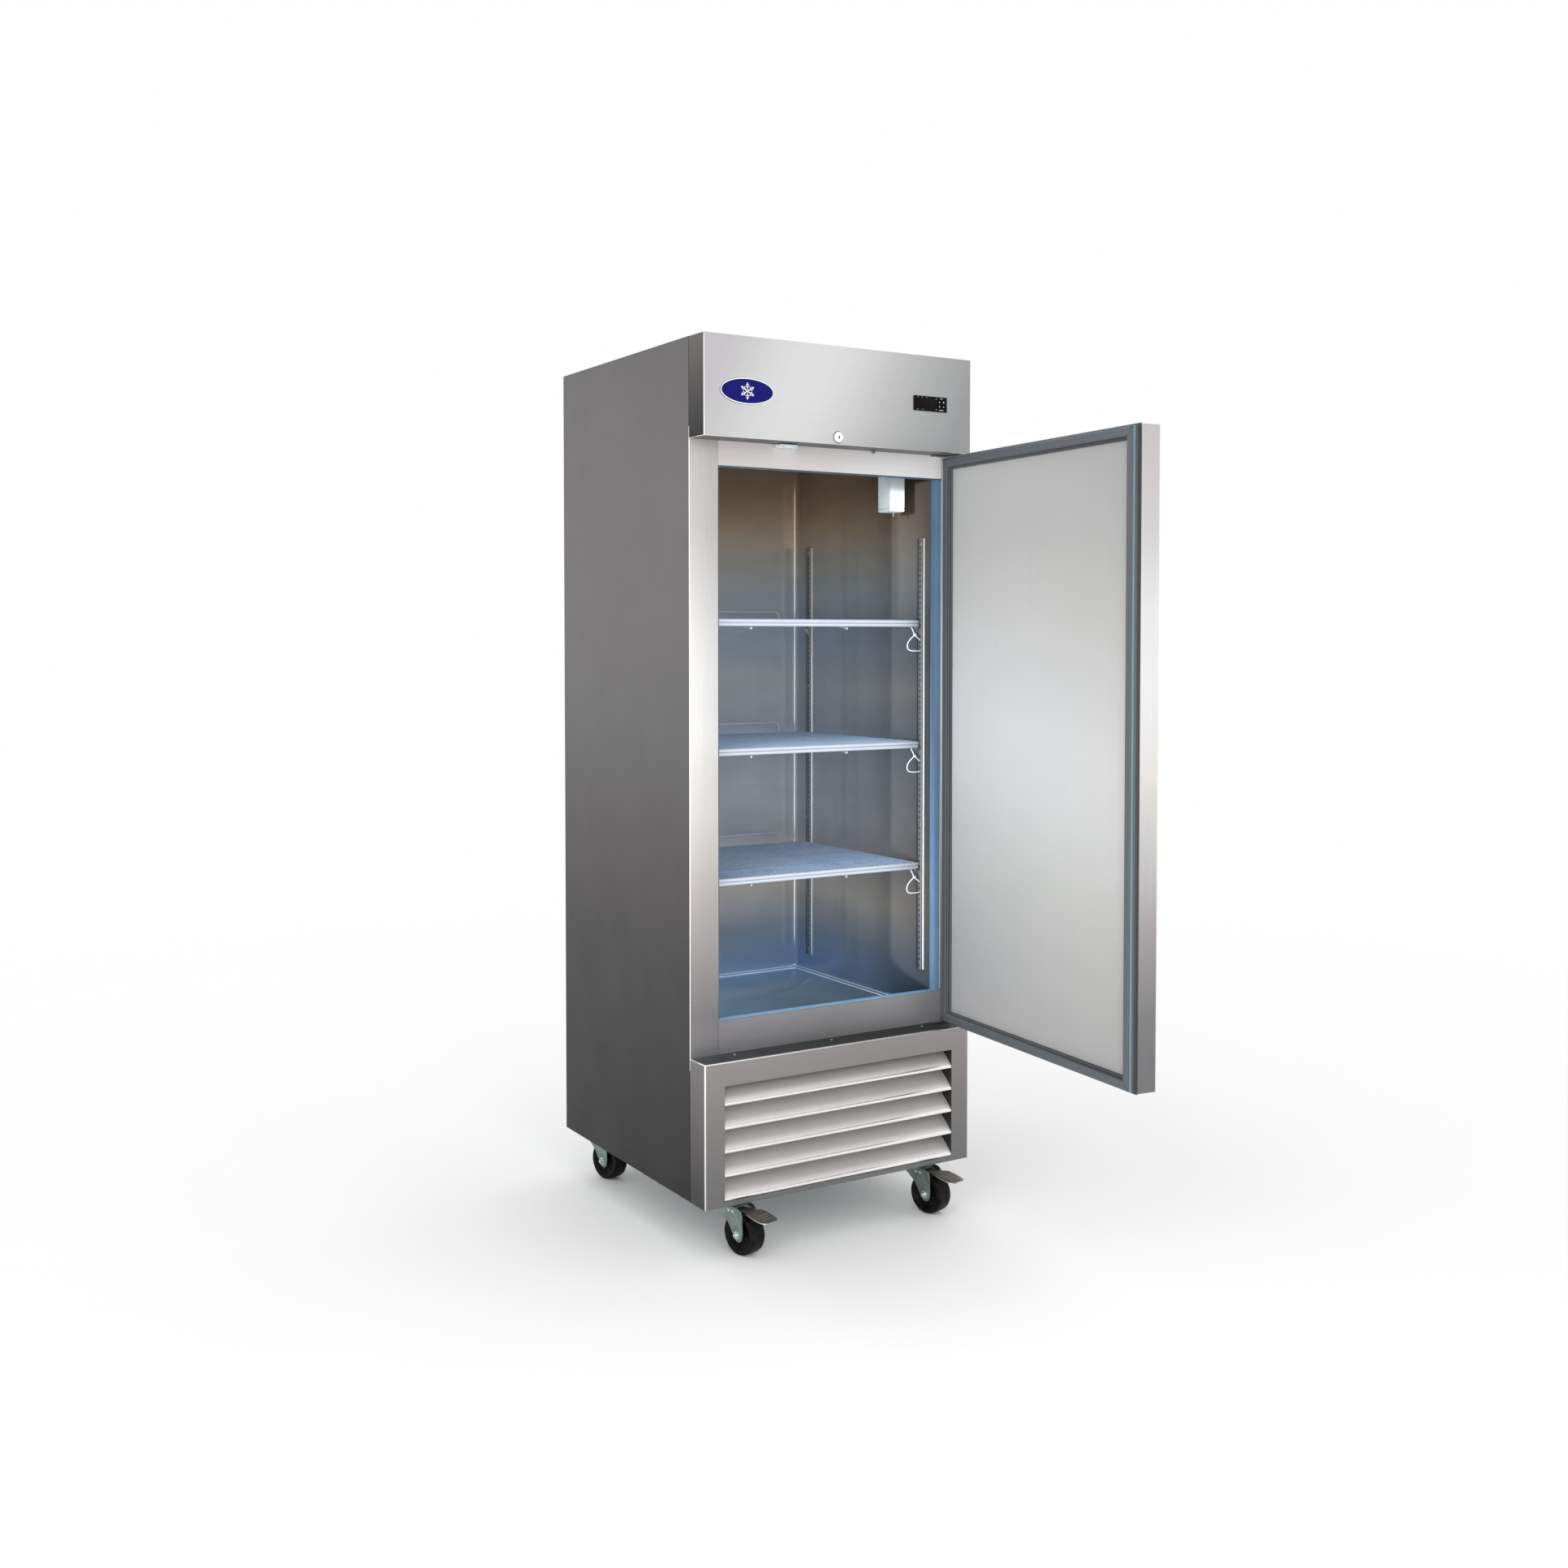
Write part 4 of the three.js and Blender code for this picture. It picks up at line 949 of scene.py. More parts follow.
def pilaster(row, side_name):
    """A slotted channel on an interior side wall, with its screws and the clip under each shelf."""
    node = f"pilaster_{row}_{side_name}"
    box_x, (y0, y1), (z0, z1) = span(node)
    sign = 1 if side_name == "right" else -1
    wall = box_x[1] if sign > 0 else box_x[0]
    face = wall - sign * UPRIGHT_DEPTH
    mid = (y0 + y1) / 2
    form = Form()
    x = sorted((face, face + sign * UPRIGHT_SHEET))
    slot_y = (mid - SLOT_HALF, mid + SLOT_HALF)
    form.box(x, (y0, slot_y[0]), (z0, z1))
    form.box(x, (slot_y[1], y1), (z0, z1))
    bottom = z0
    for n in range(int((z1 - z0 - 12) // SLOT_PITCH)):
        slot = z0 + FIRST_SLOT + n * SLOT_PITCH
        form.box(x, slot_y, (bottom, slot))
        bottom = slot + SLOT_HEIGHT
    form.box(x, slot_y, (bottom, z1))
    back = sorted((face, wall))
    form.box(back, (y0, y0 + UPRIGHT_SHEET), (z0, z1), 1)
    form.box(back, (y1 - UPRIGHT_SHEET, y1), (z0, z1), 1)
    # A dark sheet behind the slots: painted shade seen through them.
    dark = sorted(face + sign * (UPRIGHT_SHEET + gap) for gap in (0.3, 0.8))
    form.box(dark, (mid - 5, mid + 5), (z0 + 4, z1 - 4), 2)
    # Front flanges take a painted highlight.
    looks = [upright_face, flange_highlight if row == "front" else steel_flange, dark_gap_and_shade]
    piece(f"upright_{row}_{side_name}", form, "root", looks, stands_for=[node])
    heads = Form()
    for n in range(UPRIGHT_SCREWS):
        at = (face, mid, z0 + 14 + n * (z1 - z0 - 28) / (UPRIGHT_SCREWS - 1))
        screw_head(heads, at, "x", -sign, 4.4, 2.0)
    piece(f"upright_screws_{row}_{side_name}", heads, "root", [screw_steel, dark_gap_and_shade])
    for level_name, level in SHELVES.items():
        top = level - CLIP_DROP
        clip = Form()
        bracket = [(1.5, 0), (-13, 0), (-13, 2.4), (-14.4, 2.4), (-14.4, -2.2), (-3.2, -17), (1.5, -19)]
        tongue = [(2.4, -3), (0.2, -3), (0.2, 3.5), (2.4, 3.5)]
        seat = [(-0.8, 0), (-13, 0), (-13, -1.6), (-0.8, -1.6)]
        for shape, half in ((bracket, 2.4), (tongue, 2.0), (seat, 7)):
            clip.prism([(face + sign * a, top + b) for a, b in shape], "y", mid - half, mid + half)
        piece(f"clip_{level_name}_{row}_{side_name}", clip, "root", [screw_steel], bevel=0.4)


for row_name in ("front", "rear"):
    for side_key in ("left", "right"):
        pilaster(row_name, side_key)


# Shelves: coated wire, with double rails, cross rods, runners and a back stop ------------------------------------

WIRE, ROD, FRONT_RAIL = 1.75, 3.0, 4.2
WIRE_COUNT, CROSS_RODS = 46, 3
RUNNERS = (-171, 94)
BACKSTOP = (-205, 216)
STOP_RISE = 34


def wire_shelf(level_name, level):
    node = f"shelf_{level_name}"
    (x0, x1), (y0, y1), _ = span(node)
    form = Form()
    top = level + 9 - WIRE
    for n in range(WIRE_COUNT):
        x = x0 + 7 + n * (x1 - x0 - 14) / (WIRE_COUNT - 1)
        path = [(x, y1 - 2.0, top - 1), (x, y0 + 7, top), (x, y0 + 4.0, top - 1.2)]
        form.tube(path, WIRE, 6, mark=1)
    for z in (level + 4.0, level - 4.0):
        form.tube([(x0, y0 + 4.4, z), (x1, y0 + 4.4, z)], FRONT_RAIL, 12)
    form.tube([(x0, y1 - 4.4, level + 3.4), (x1, y1 - 4.4, level + 3.4)], ROD, 10)
    for x in (x0 + 3.2, x1 - 3.2):
        form.tube([(x, y0 + 4, level + 3.4), (x, y1 - 4, level + 3.4)], ROD, 10, mark=1)
    for n in range(CROSS_RODS):
        y = y0 + (n + 1) * (y1 - y0) / (CROSS_RODS + 1)
        form.tube([(x0 + 3, y, level + 3.2), (x1 - 3, y, level + 3.2)], ROD, 10, mark=1)
    for x in RUNNERS:
        run = ((y0 + 9, -12.4), (y0 + 16, -12.2), (y0 + 40, -5), (y1 - 30, -3.2))
        form.tube(rounded_path([(x, y, level + z) for y, z in run], 10), ROD, 10)
    left, right = BACKSTOP
    stop = [(x, y1 - 3, level + z) for x, z in ((left, 4), (left, STOP_RISE), (right, STOP_RISE), (right, 4))]
    form.tube(rounded_path(stop, 13, 6), ROD, 10)
    # Deck wires and rods take the painted blue shade; rails, runners and stop the white coat.
    looks = [coat_white, coat_shade_blue]
    piece(f"wire_shelf_{level_name}", form, node, looks, stands_for=[node], angle=60)


TIE_WIRE = 1.25


def shelf_tie(level_name, level):
    """The plastic tie that holds a shelf's front right corner to its pilaster."""
    upright = span("pilaster_front_right")
    wall = upright[0][1] - 5.4
    y = sum(upright[1]) / 2 - 3
    head = (wall - 18, y, level - 28)
    form = Form()
    form.tube([(wall - 28.6, y, level - 9), head], TIE_WIRE, 8)
    loop = [(-30.6, 1, -37), (-41, 1, -51), (-37.6, 1, -65), (-22.6, 0, -67), (0, 3, -67)]
    form.tube(rounded_path([head] + [(wall + a, y + b, level + c) for a, b, c in loop], 9, 4), TIE_WIRE, 8)
    form.tube([head, (wall, y + 3, level - 41)], TIE_WIRE, 8)
    form.prism(round_rect((head[0] - 2.8, head[0] + 2.8), (head[2] - 2.6, head[2] + 2.6), 1), "y", y - 2.4, y + 2.4)
    piece(f"shelf_tie_{level_name}", form, "root", [tie_white])


for shelf_name, shelf_level in SHELVES.items():
    wire_shelf(shelf_name, shelf_level)
    shelf_tie(shelf_name, shelf_level)


# Lamp -----------------------------------------------------------------------------------------------------------

def lamp():
    """The lamp's cover with a ribbed lower lip, and its screw."""
    (x0, x1), (y0, y1), (z0, z1) = span("lamp_cover")
    inset = 1.5
    rings = [
        [(a, b, z0 + rise) for a, b in round_rect((x0 - grow, x1 + grow), (y0 - grow, y1 + grow), 5)]
        for grow, rise in ((-5, 0), (-1.2, 1.2), (0, 4), (0, 7), (-0.8, 8), (-0.8, 10), (0, 11), (0, z1 - z0))
    ]
    inner = [
        [(a, b, z) for a, b in round_rect((x0 + inset, x1 - inset), (y0 + inset, y1 - inset), 4)]
        for z in (z1, z0 + inset)
    ]
    form = Form().loft(rings + inner)
    piece("lamp_shade", form, "root", [lamp_grey], stands_for=["lamp_cover"], angle=40)
    screw = Form()
    middle = ((x0 + x1) / 2 + 6, (y0 + y1) / 2, z0)
    turned = [(3.4, 0.5), (3.4, -1.5), (2.2, -3), (2.2, -6), (3.2, -6.4), (3.2, -9), (0.01, -9.4)]
    screw.lathe(turned, middle, "z", 16)
    piece("lamp_screw", screw, "root", [screw_steel])
    ribs = Form()
    for n in range(5):
        x = x0 + 8 + n * 7
        ribs.box((x, x + 1.2), (y0 - 0.5, y0 + 0.2), (z0 + 14, z0 + 40))
    piece("lamp_ribs", ribs, "root", [lamp_grey], bevel=0.3)


lamp()


# Header fittings ------------------------------------------------------------------------------------------------

def ellipse(centre, half_x, half_z, y, count=72):
    turn = [2 * math.pi * k / count for k in range(count)]
    return [(centre[0] + half_x * math.cos(t), y, centre[1] + half_z * math.sin(t)) for t in turn]


def badge():
    """A blue oval with a silver rim and a plain snowflake."""
    (x0, x1), (y0, y1), (z0, z1) = span("badge")
    centre = ((x0 + x1) / 2, (z0 + z1) / 2)
    a, b = (x1 - x0) / 2 + 0.8, (z1 - z0) / 2 + 1.6
    bands = [
        (0, y1 - y0, 2), (0, 1.2, 2), (0.5, 0.6, 2), (0.9, 0.1, 0), (2.5, 0, 0), (3.0, 0.5, 1), (4.0, 0.5, 1),
        (4.3, 0.35, 1), (4.9, 0.35, 1), (5.2, 0.5, 1), (12, 0.3, 1), (20, 0.15, 1), (26, 0.1, 1),
    ]
    rings = [ellipse(centre, a - inset, b - inset, y0 + back) for inset, back, _ in bands]
    form = Form().loft(rings, marks=[m for _, _, m in bands[1:]])
    looks = [badge_silver, badge_blue, dark_grey_and_shadow]
    piece("badge_oval", form, "root", looks, stands_for=["badge"], angle=50)
    flake = Form()
    y = (y0 - 0.35, y0 + 0.3)

    def stroke(start, end, wide):
        start, end = Vector(start), Vector(end)
        across = Vector((-(end - start).y, (end - start).x)).normalized() * wide / 2
        shape = [start + across, start - across, end - across, end + across]
        flake.prism([(centre[0] + p.x, centre[1] + p.y) for p in shape], "y", y[0], y[1])

    for n in range(6):
        turn = math.pi / 6 + n * math.pi / 3
        arm = Vector((math.cos(turn), math.sin(turn)))
        stroke((0, 0), arm * 18.5, 1.9)
        for at, size in ((8, 5.5), (13, 4)):
            for bend in (-1, 1):
                tip = Vector((math.cos(turn + bend * math.pi / 3), math.sin(turn + bend * math.pi / 3)))
                stroke(arm * at, arm * at + tip * size, 1.4)
    piece("badge_flake", flake, "root", [badge_silver], bevel=0.15)


badge()


def controller_face():
    """The controller's window with three unlit digits, its small marks and a symbol on each key."""
    (x0, x1), (y0, _), (z0, z1) = span("controller")
    window = Form().loft([
        [(a, y, b) for a, b in round_rect((x0 + 6 - grow, x0 + 57 + grow), (z0 + 6 - grow, z1 - 6 + grow), 1.5)]
        for grow, y in ((0, y0 - 0.05), (0, y0 - 0.5), (-0.5, y0 - 0.7))
    ])
    piece("display_window", window, "root", [window_red])
    digits = Form()
    for n in range(3):
        left, low, high = x0 + 14 + n * 13, z0 + 10, z1 - 10
        middle = (low + high) / 2
        digit_y = (y0 - 0.82, y0 - 0.68)
        for z in (low, middle, high):
            digits.box((left + 1.2, left + 6.8), digit_y, (z - 0.6, z + 0.6))
        for x in (left, left + 8):
            for z in ((low + 0.9, middle - 0.9), (middle + 0.9, high - 0.9)):
                digits.box((x - 0.6, x + 0.6), digit_y, z)
    piece("display_segments", digits, "root", [segment_red], bevel=0.05)
    marks = Form()
    for x, z, wide in (
        (x0 + 9, z1 - 3, 2.2), (x0 + 22, z1 - 3, 1.6), (x0 + 35, z1 - 3, 1.6), (x0 + 9, z0 + 3, 2.2),
        (x0 + 24, z0 + 3, 1.4), (x0 + 63, z1 - 5, 2.0), (x0 + 63, z0 + 5, 2.0), (x0 + 78, z0 + 4, 12),
        (x0 + 78, z1 - 4, 6),
    ):
        marks.box((x - wide / 2, x + wide / 2), (y0 - 0.15, y0 + 0.1), (z - 0.6, z + 0.6))
    piece("controller_marks", marks, "root", [icon_white], bevel=0.05)
    icons = {
        "key_up": [(-1.8, -1.2), (1.8, -1.2), (0, 1.6)], "key_down": [(-1.8, 1.2), (0, -1.6), (1.8, 1.2)],
        "key_set": [(-1.5, -1.5), (1.5, -1.5), (1.5, 1.5), (-1.5, 1.5)],
        "key_defrost": [(-1.9, 0), (-0.5, -0.5), (0, -1.9), (0.5, -0.5), (1.9, 0), (0.5, 0.5), (0, 1.9), (-0.5, 0.5)],
    }
    for key, shape in icons.items():
        (kx0, kx1), (ky0, _), (kz0, kz1) = span(key)
        cx, cz = (kx0 + kx1) / 2, (kz0 + kz1) / 2
        form = Form().prism([(cx + a, cz + b) for a, b in shape], "y", ky0 - 0.12, ky0 + 0.1)
        piece(f"icon_{key}", form, key, [icon_white], bevel=0.04)


controller_face()
HEADER_BOLT_AT = (121, -315, HEADER_BOTTOM)
LEDGE_SCREWS_X = (261, -261, 0)


def small_fittings():
    """The bolt under the header, the screws on the louver ledge, the lock's keyway in painted shade and a painted
    shadow ring round the lock, the switch's shroud.
    """
    bolt = Form()
    hex_bolt(bolt, HEADER_BOLT_AT, "z", -1, 4.2, 6, 5.5)
    piece("header_bolt", bolt, "root", [zinc_plate], bevel=0.3)
    screws = Form()
    for x in LEDGE_SCREWS_X:
        screw_head(screws, (x, FACE_Y - 19, LOUVER_TOP), "z", 1, 3.4, 2.0)
    piece("ledge_screws", screws, "root", [screw_steel, dark_gap_and_shade])

    (x0, x1), (y0, _), (z0, z1) = span("lock_barrel")
    x, z = (x0 + x1) / 2, (z0 + z1) / 2
    # The keyway as a dark mark: painted shade.
    keyway = Form().box((x - 1.0, x + 1.0), (y0 - 0.05, y0 + 1), (z - 4.2, z + 3.2))
    keyway.lathe([(2.4, y0 + 1), (2.4, y0 - 0.06), (0.01, y0 - 0.06)], (x, 0, z), "y", 20)
    piece("lock_keyway", keyway, "lock_barrel", [dark_gap_and_shade], bevel=0.1)
    # A dark ring round the lock: a painted shadow.
    profile = [(9.4, 0.2), (14.0, 0.2), (14.0, -0.5), (13.2, -0.9), (9.4, -0.9)]
    ring = Form().lathe([(radius, FRONT_Y + back) for radius, back in profile], (x, 0, z), "y", 48, close=True)
    piece("lock_shadow_ring", ring, "root", [dark_grey_and_shadow])

    (x0, x1), (y0, _), (_, z1) = span("door_switch")
    profile = [(2, -0.5), (-16, -0.6), (-20, -2.6), (-12, -4.6), (2, -5.2)]
    shroud = Form().prism([(y0 + back, z1 + rise) for back, rise in profile], "x", x0 + 4, x1 - 10)
    piece("switch_shroud", shroud, "root", [switch_white], bevel=1.0)


small_fittings()


# Door -----------------------------------------------------------------------------------------------------------

DOOR_X, DOOR_Z = (-362.5, 362.5), (331, 1697)
DOOR_Y = (FRONT_Y, FRONT_Y + 48)
HANDLE_X, HANDLE_Z, HANDLE_DEPTH = (-344, -284), (905, 1205), 28


def door_rect(inset, y, radius=0.0):
    a, b = (DOOR_X[0] + inset, DOOR_X[1] - inset), (DOOR_Z[0] + inset, DOOR_Z[1] - inset)
    if radius:
        return [(p, y, q) for p, q in round_rect(a, b, radius, 3)]
    return [(a[0], y, b[0]), (a[1], y, b[0]), (a[1], y, b[1]), (a[0], y, b[1])]


folded_sheet(
    "door_pan", DOOR_X, DOOR_Y, DOOR_Z, ("+y",), [steel_door, steel_edge_highlight, steel_door_edge], "door", "stainless_door",
    fold=2.4, hole=(HANDLE_X, HANDLE_Z), marks={"-x": 2, "+x": 2, "-z": 2, "+z": 2}, stands_for=["door_outer_skin"],
    matrix=DOOR_OPEN,
)

# The inner panel, raised inside the seal, with a painted shadow as a dark border under it
PANEL_STEPS = [
    (1.6, -1.6, 2), (1.6, -0.2, 2), (29.5, -0.2, 3), (30.6, 0.6, 3), (31.4, 2.6, 3), (32.6, 3.8, 3), (34.4, 4.2, 3),
]
panel = Form().loft(
    [door_rect(inset, DOOR_Y[1] + rise, radius) for inset, rise, radius in PANEL_STEPS], marks=[1, 1, 0, 0, 0, 0],
)
piece(
    "door_liner", panel, "door", [steel_panel, seal_grey_and_shadow], stands_for=["door_inner_panel"],
    matrix=DOOR_OPEN, angle=50,
)


def gasket():
    """Magnetic seal: retainer foot, folded bellows and magnet bulb, mitred at the corners."""
    # Band marks: 1 lays painted highlight lines in blue, 2 painted shade in the folds and along the foot.
    profile = [
        (6.0, 48.3, 2), (4.0, 48.9, 2), (3.4, 50.6, 2), (5.4, 52.0, 2), (6.6, 53.4, 0), (5.6, 55.2, 0),
        (7.0, 57.0, 2), (6.4, 59.0, 1), (5.8, 61.2, 1), (6.6, 63.0, 1), (7.6, 64.2, 2), (8.6, 65.2, 0),
        (11.4, 66.5, 0), (15.0, 66.2, 0), (16.0, 65.6, 0), (17.0, 66.2, 0), (21.0, 66.5, 0), (25.4, 65.6, 0),
        (26.8, 63.4, 2), (25.6, 61.4, 2), (24.6, 60.0, 0), (26.4, 58.0, 0), (25.2, 55.8, 2), (27.6, 53.6, 0),
        (30.0, 52.2, 0), (30.4, 50.6, 2), (27.6, 48.3, 2),
    ]
    rings = [door_rect(inset, FRONT_Y + rise) for inset, rise, _ in profile]
    form = Form().loft(rings + rings[:1], caps=(False, False), marks=[m for _, _, m in profile])
    looks = [seal_grey_and_shadow, gasket_blue_highlight, gasket_shade]
    piece("door_seal", form, "door", looks, stands_for=["door_gasket"], matrix=DOOR_OPEN, angle=75)
    seams = Form()
    for x, turn_x in zip(DOOR_X, (1, -1)):
        for z, turn_z in zip(DOOR_Z, (1, -1)):
            ends = ((8, 66.35), (26, 65.9))
            seams.tube([(x + turn_x * inset, FRONT_Y + rise, z + turn_z * inset) for inset, rise in ends], 0.45, 6)
    piece("seal_mitres", seams, "door", [gasket_shade], matrix=DOOR_OPEN)


gasket()


def handle():
    """Recessed pull: a rounded lip, steep walls and a coved floor."""
    deep = HANDLE_DEPTH
    levels = [
        (7, -0.3, 9), (6.6, -1.3, 9), (5.2, -1.7, 8), (1.6, -1.7, 6), (0.2, -1.2, 5), (-0.8, 0.6, 5), (-1.4, 8, 5),
        (-1.8, deep - 8, 6), (-3.2, deep - 3.4, 7), (-6.5, deep - 1.4, 8),
    ]
    outer = [(1, -0.3, 7), (0, 1.6, 6), (0, deep - 9, 6), (-0.8, deep - 3, 7), (-5.5, deep, 8)]

    def ring(grow, back, radius):
        sides = [(low - grow, high + grow) for low, high in (HANDLE_X, HANDLE_Z)]
        return [(a, FRONT_Y + back, b) for a, b in round_rect(*sides, radius, 5)]

    form = Form().loft([ring(*level) for level in levels], caps=(False, True))
    form.loft([ring(*level) for level in levels[:1] + outer], caps=(False, True))
    piece(
        "pull_tray", form, "door", [steel_door], stands_for=["door_handle"], matrix=DOOR_OPEN,
        angle=50,
    )


handle()


# Casters --------------------------------------------------------------------------------------------------------

WHEEL_RADIUS, WHEEL_HALF, TRAIL, AXLE_Z = 47, 20, 38, -75
SWIVEL_REST = 14
PLATE_HALF_X, PLATE_FRONT, PLATE_REAR = 50, 39, 41
CHEEK = [
    (27, -14), (-34, -14), (-47, -17), (-54, -28), (-56, -60), (-55, -79), (-50, -89), (-40, -91), (-31, -86),
    (-8, -50), (14, -33), (25, -26),
]


def caster(corner, brake):
    """A caster drawn about its swivel axis, with the fork turned to its rest angle."""
    plate_x, plate_y, _ = span(f"caster_plate_{corner}")
    spot = Matrix.Translation((sum(plate_x) / 2 * MM, (plate_y[0] + PLATE_FRONT) * MM, 0))
    turned = spot @ Matrix.Rotation(math.radians(SWIVEL_REST), 4, "Z")
    plate = Form()
    outline = round_rect((-PLATE_HALF_X, PLATE_HALF_X), (-PLATE_FRONT, PLATE_REAR), 8)
    plate.loft([[(a, b, z) for a, b in outline] for z in (-0.3, -3.3)])
    race = [(34, -3.2), (33, -5.2), (29, -7.0), (27.5, -9), (27.5, -11.8), (10, -12)]
    plate.lathe(race, (0, 0, 0), "z", 36)
    for x in (-40, 40):
        for y in (-29, 31):
            hex_bolt(plate, (x, y, -3.3), "z", -1, 5.6, 4.4, 8)
    piece(f"mount_plate_{corner}", plate, "root", [zinc_plate], bevel=0.4,
          stands_for=[f"caster_plate_{corner}"], matrix=spot)

    fork_body, wheel_body, pedal_body = f"fork_{corner}", f"wheel_{corner}", f"pedal_{corner}"
    fork = Form()
    crown = [
        (8, -12.4), (27, -12.4), (30, -13.2), (31, -14.8), (29, -17.0), (25, -19.0), (14, -19.4), (9, -21.4),
        (0.01, -21.6),
    ]
    fork.lathe(crown, (0, 0, 0), "z", 36)
    inner, outer = WHEEL_HALF + 1.6, WHEEL_HALF + 4.6
    outline = [(p.x, p.y) for p in rounded_path([(a, b, 0) for a, b in CHEEK], 9, 3, closed=True)]
    for sign in (-1, 1):
        fork.prism(outline, "x", *sorted((sign * inner, sign * outer)))
    fork.box((-outer, outer), (-32, 26), (-17.0, -13.8))
    piece(f"{fork_body}_yoke", fork, fork_body, [zinc_plate], bevel=0.8,
          stands_for=[f"caster_fork_{corner}"], matrix=turned, angle=40)
    bolts = Form()
    for sign in (-1, 1):
        at = (sign * outer, -TRAIL, AXLE_Z)
        radii = [8.6 if k % 2 else 9.6 for k in range(24)]
        teeth = [(r * math.cos(math.pi * k / 12), r * math.sin(math.pi * k / 12)) for k, r in enumerate(radii)]
        bolts.prism([(at[1] + a, at[2] + b) for a, b in teeth], "x", *sorted((at[0], at[0] + sign * 1.5)))
        bolts.loft([
            [placed("x", at[1] + p * grow, at[2] + q * grow, at[0] + sign * rise) for p, q in hexagon(6.2)]
            for grow, rise in ((1, 1.4), (1, 5.6), (0.88, 6.6))
        ])
        bolts.lathe([(3.6, 6.4 * sign), (3.6, 8.2 * sign), (2.8, 8.8 * sign), (0.01, 8.8 * sign)], at, "x", 16)
    bolts.tube([(-outer, -TRAIL, AXLE_Z), (outer, -TRAIL, AXLE_Z)], 4.8, 16)
    piece(f"{fork_body}_axle", bolts, fork_body, [zinc_bright], bevel=0.3, matrix=turned)
    rivets = Form()
    for sign in (-1, 1):
        for y in (-24, -12):
            dome = [(3.6, 0), (3.4, sign * 0.8), (2.0, sign * 1.5), (0.01, sign * 1.6)]
            rivets.lathe(dome, (sign * outer, y, -24), "x", 14)
    piece(f"{fork_body}_rivets", rivets, fork_body, [zinc_bright], matrix=turned)

    wheel = Form()
    r, h = WHEEL_RADIUS, WHEEL_HALF
    half_profile = [
        (5.6, h - 1), (9.5, h), (12, h - 0.4), (12.6, h - 2.6), (15.5, h - 5.4), (25, h - 6.2), (30.5, h - 5.2),
        (32, h - 2.4), (33.4, h - 1.6), (34.6, h - 2.4), (35.6, h - 1.2), (38.4, h - 0.2), (43.0, h - 0.1),
        (44.8, h - 0.5), (46.1, h - 1.5), (46.8, h - 3.2), (r, h - 6),
    ]
    profile = half_profile + [(a, -b) for a, b in reversed(half_profile)]
    wheel.lathe(profile, (0, -TRAIL, AXLE_Z), "x", 56, close=True)
    piece(f"{wheel_body}_tyre", wheel, wheel_body, [black_rubber],
          stands_for=[f"caster_wheel_{corner}"], matrix=turned, angle=45)
    ribs = Form()
    for n in range(8):
        turn = 2 * math.pi * n / 8
        radial = Vector((math.cos(turn), math.sin(turn)))
        across = Vector((-radial.y, radial.x)) * 1.1
        shape = [radial * 12 + across, radial * 31 + across, radial * 31 - across, radial * 12 - across]
        for sign in (-1, 1):
            x = sorted((sign * (h - 7), sign * (h - 4.2)))
            ribs.prism([(p.x - TRAIL, AXLE_Z + p.y) for p in shape], "x", *x)
    piece(f"{wheel_body}_ribs", ribs, wheel_body, [black_rubber], bevel=0.5, matrix=turned)
    if brake:
        brake_pedal(pedal_body, corner, turned)


PEDAL_STATIONS = [
    (-13, -22.9, 15), (-30, -22.7, 15.5), (-50, -22.0, 16), (-62, -21.0, 19), (-72, -21.0, 25.5),
    (-86, -23.4, 27.5), (-102, -26.4, 27.5), (-114, -28.4, 26), (-121, -29.4, 22), (-125, -30.0, 15),
]
PEDAL_RING, PEDAL_LIP_STRIPS = 18, (0, 7, 8, 16, 17)


def brake_pedal(pedal_body, corner, turned):
    """A stamped pedal lofted through (y, z, half width) stations, its lips bright, with grip ridges and a pad."""
    pedal = Form()
    lip, curl = 1.8, 2.0
    rings = []
    for y, z, wide in PEDAL_STATIONS:
        top = [(-wide, z - lip), (-wide + 0.4, z - 0.6), (-wide + curl, z + 0.4), (-wide * 0.5, z + 0.7), (0, z + 0.8),
               (wide * 0.5, z + 0.7), (wide - curl, z + 0.4), (wide - 0.4, z - 0.6), (wide, z - lip)]
        under = [(a * 0.95, b - 1.5 if i not in (0, 8) else b - 0.3) for i, (a, b) in enumerate(top)][::-1]
        rings.append([(a, y, b) for a, b in top + under])
    pedal.loft(rings)
    for band in range(len(PEDAL_STATIONS) - 1):
        for strip in PEDAL_LIP_STRIPS:
            pedal.marks[band * PEDAL_RING + strip] = 1
    piece(f"{pedal_body}_plate", pedal, pedal_body, [pedal_grey, zinc_bright], bevel=0.35,
          stands_for=[f"brake_pedal_{corner}"], matrix=turned, angle=50)
    grip = Form()
    for n in range(3):
        y, z = -92 - n * 9, -23.6 - n * 1.8
        grip.tube([(-17, y, z), (17, y, z)], 1.0, 8)
    piece(f"{pedal_body}_grip", grip, pedal_body, [pedal_grey], matrix=turned)
    knob = Form()
    knob.lathe([(7, -23.6), (7.4, -24.6), (6.0, -25.8), (0.01, -26.2)], (0, -62, 0), "z", 20)
    knob.box((-24, -16), (-66, -56), (-26.2, -22.4))
    piece(f"{pedal_body}_pad", knob, pedal_body, [black_rubber], bevel=0.5, matrix=turned)


for corner_name in ("front_left", "front_right", "rear_left", "rear_right"):
    caster(corner_name, brake=corner_name.startswith("front"))


# Back and top fasteners -----------------------------------------------------------------------------------------

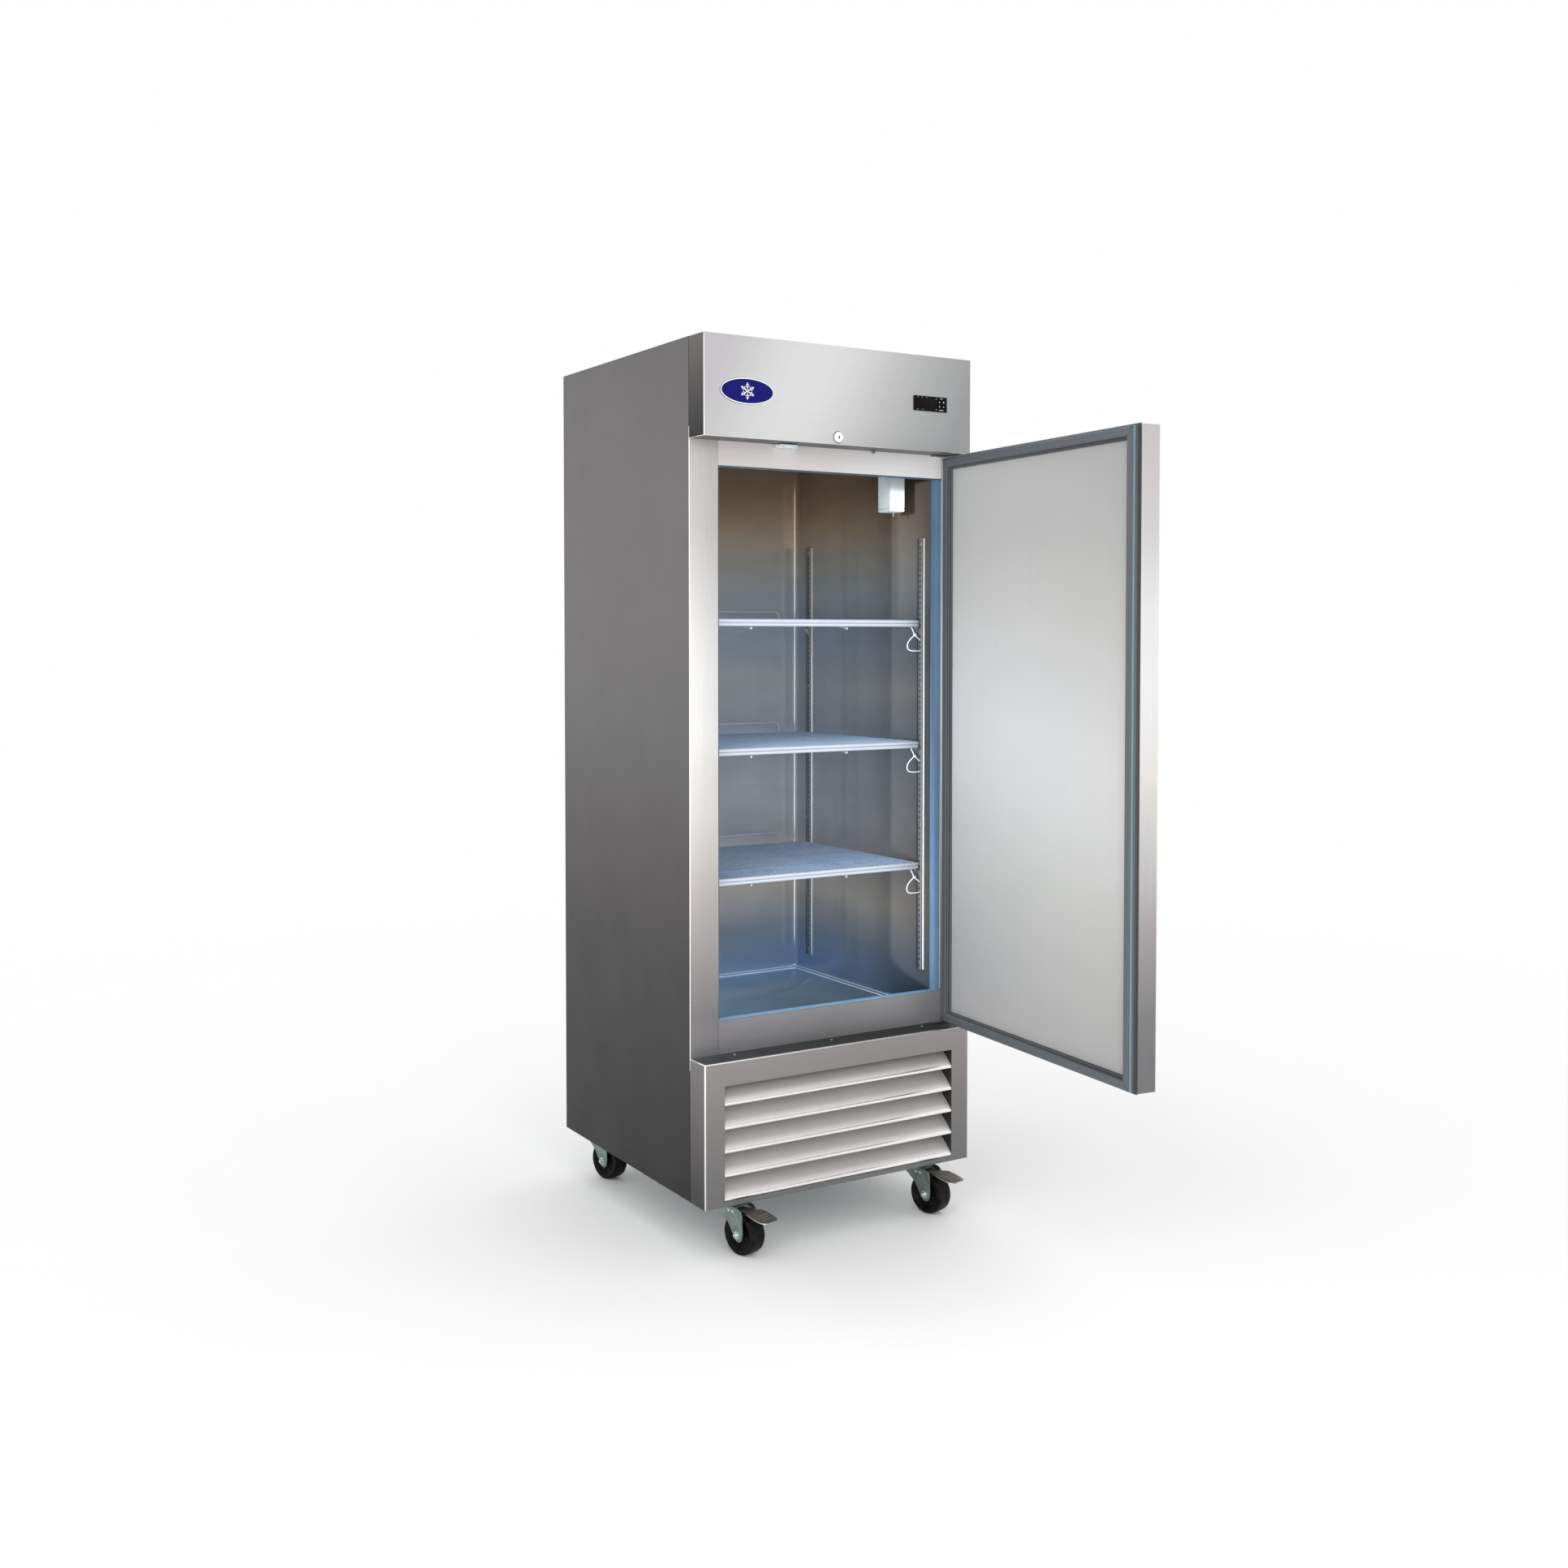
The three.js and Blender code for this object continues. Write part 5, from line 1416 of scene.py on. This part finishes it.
BACK_SCREWS = [(x, z) for z in (20, 250, 560, 900, 1240, 1580, 1905) for x in (-338, 338)]
BACK_SCREWS += [(x, z) for x in (-220, -75, 75, 220) for z in (1908, 300)]
TOP_SCREWS = [(x, y) for x in (-340, 0, 340) for y in (-270, 30, 345)]


def panel_screws():
    back, top = Form(), Form()
    for x, z in BACK_SCREWS:
        screw_head(back, (x, REAR_Y, z), "y", 1, 4.2, 2.2)
    for x, y in TOP_SCREWS:
        screw_head(top, (x, y, HEIGHT), "z", 1, 4.2, 2.0)
    for name, form in (("back_screws", back), ("top_screws", top)):
        piece(name, form, "root", [screw_steel, dark_gap_and_shade])


panel_screws()


# Stage ----------------------------------------------------------------------------------------------------------

FLOOR_RADIUS, FLOOR_FADE, FLOOR_SIDES, FLOOR_GAP = 7.0, (1.4, 4.5), 64, 0.0003


def stage_floor():
    """A pale disc, in metres, that fades out into the white round it."""
    mesh = bpy.data.meshes.new("floor")
    turn = [2 * math.pi * k / FLOOR_SIDES for k in range(FLOOR_SIDES)]
    z = cad_low.z - FLOOR_GAP
    rim = [(FLOOR_RADIUS * math.cos(t), FLOOR_RADIUS * math.sin(t), z) for t in turn]
    mesh.from_pydata(rim, [], [list(range(FLOOR_SIDES))])
    look = Look("floor_pale", roughness=0.7)
    drift = look.noise(3, detail=4)
    look.paint(look.shade(colour("#fefefe"), drift, 0.99, 1.0))
    distance = look.add("ShaderNodeVectorMath", operation="LENGTH")
    look.join(look.place, distance.inputs[0])
    look.join(look.number(distance.outputs["Value"], *FLOOR_FADE, 1.0, 0.0), look.shader.inputs["Alpha"])
    mesh.materials.append(look.material)
    floor = bpy.data.objects.new("floor", mesh)
    scene.collection.objects.link(floor)


stage_floor()
world = bpy.data.worlds.new("studio")
scene.world = world
world.use_nodes = True
sky = world.node_tree.nodes["Background"]
sky.inputs["Color"].default_value = (1, 1, 1, 1)
sky.inputs["Strength"].default_value = 1.0


def softbox(name, place, target, size, power, seen=True):
    """A white area light at place, facing target; an unseen one shows in neither the picture nor reflections."""
    data = bpy.data.lights.new(name, "AREA")
    data.shape = "RECTANGLE"
    data.size, data.size_y = size
    data.energy = power
    lamp_object = bpy.data.objects.new(name, data)
    scene.collection.objects.link(lamp_object)
    lamp_object.location = place
    lamp_object.visible_camera = lamp_object.visible_glossy = seen
    lamp_object.rotation_mode = "QUATERNION"
    lamp_object.rotation_quaternion = (Vector(target) - Vector(place)).to_track_quat("-Z", "Y")


softbox("key", (-3.2, -2.6, 2.4), (0, -0.2, 1.0), (2.4, 2.4), 14)
softbox("inside_fill", (-0.7, -2.4, 1.0), (0, 0, 0.95), (0.9, 1.6), 12)
softbox("cavity_fill", (0.0, -0.30, 1.02), (0.0, 0.3, 0.98), (0.56, 1.2), 3.9, seen=False)
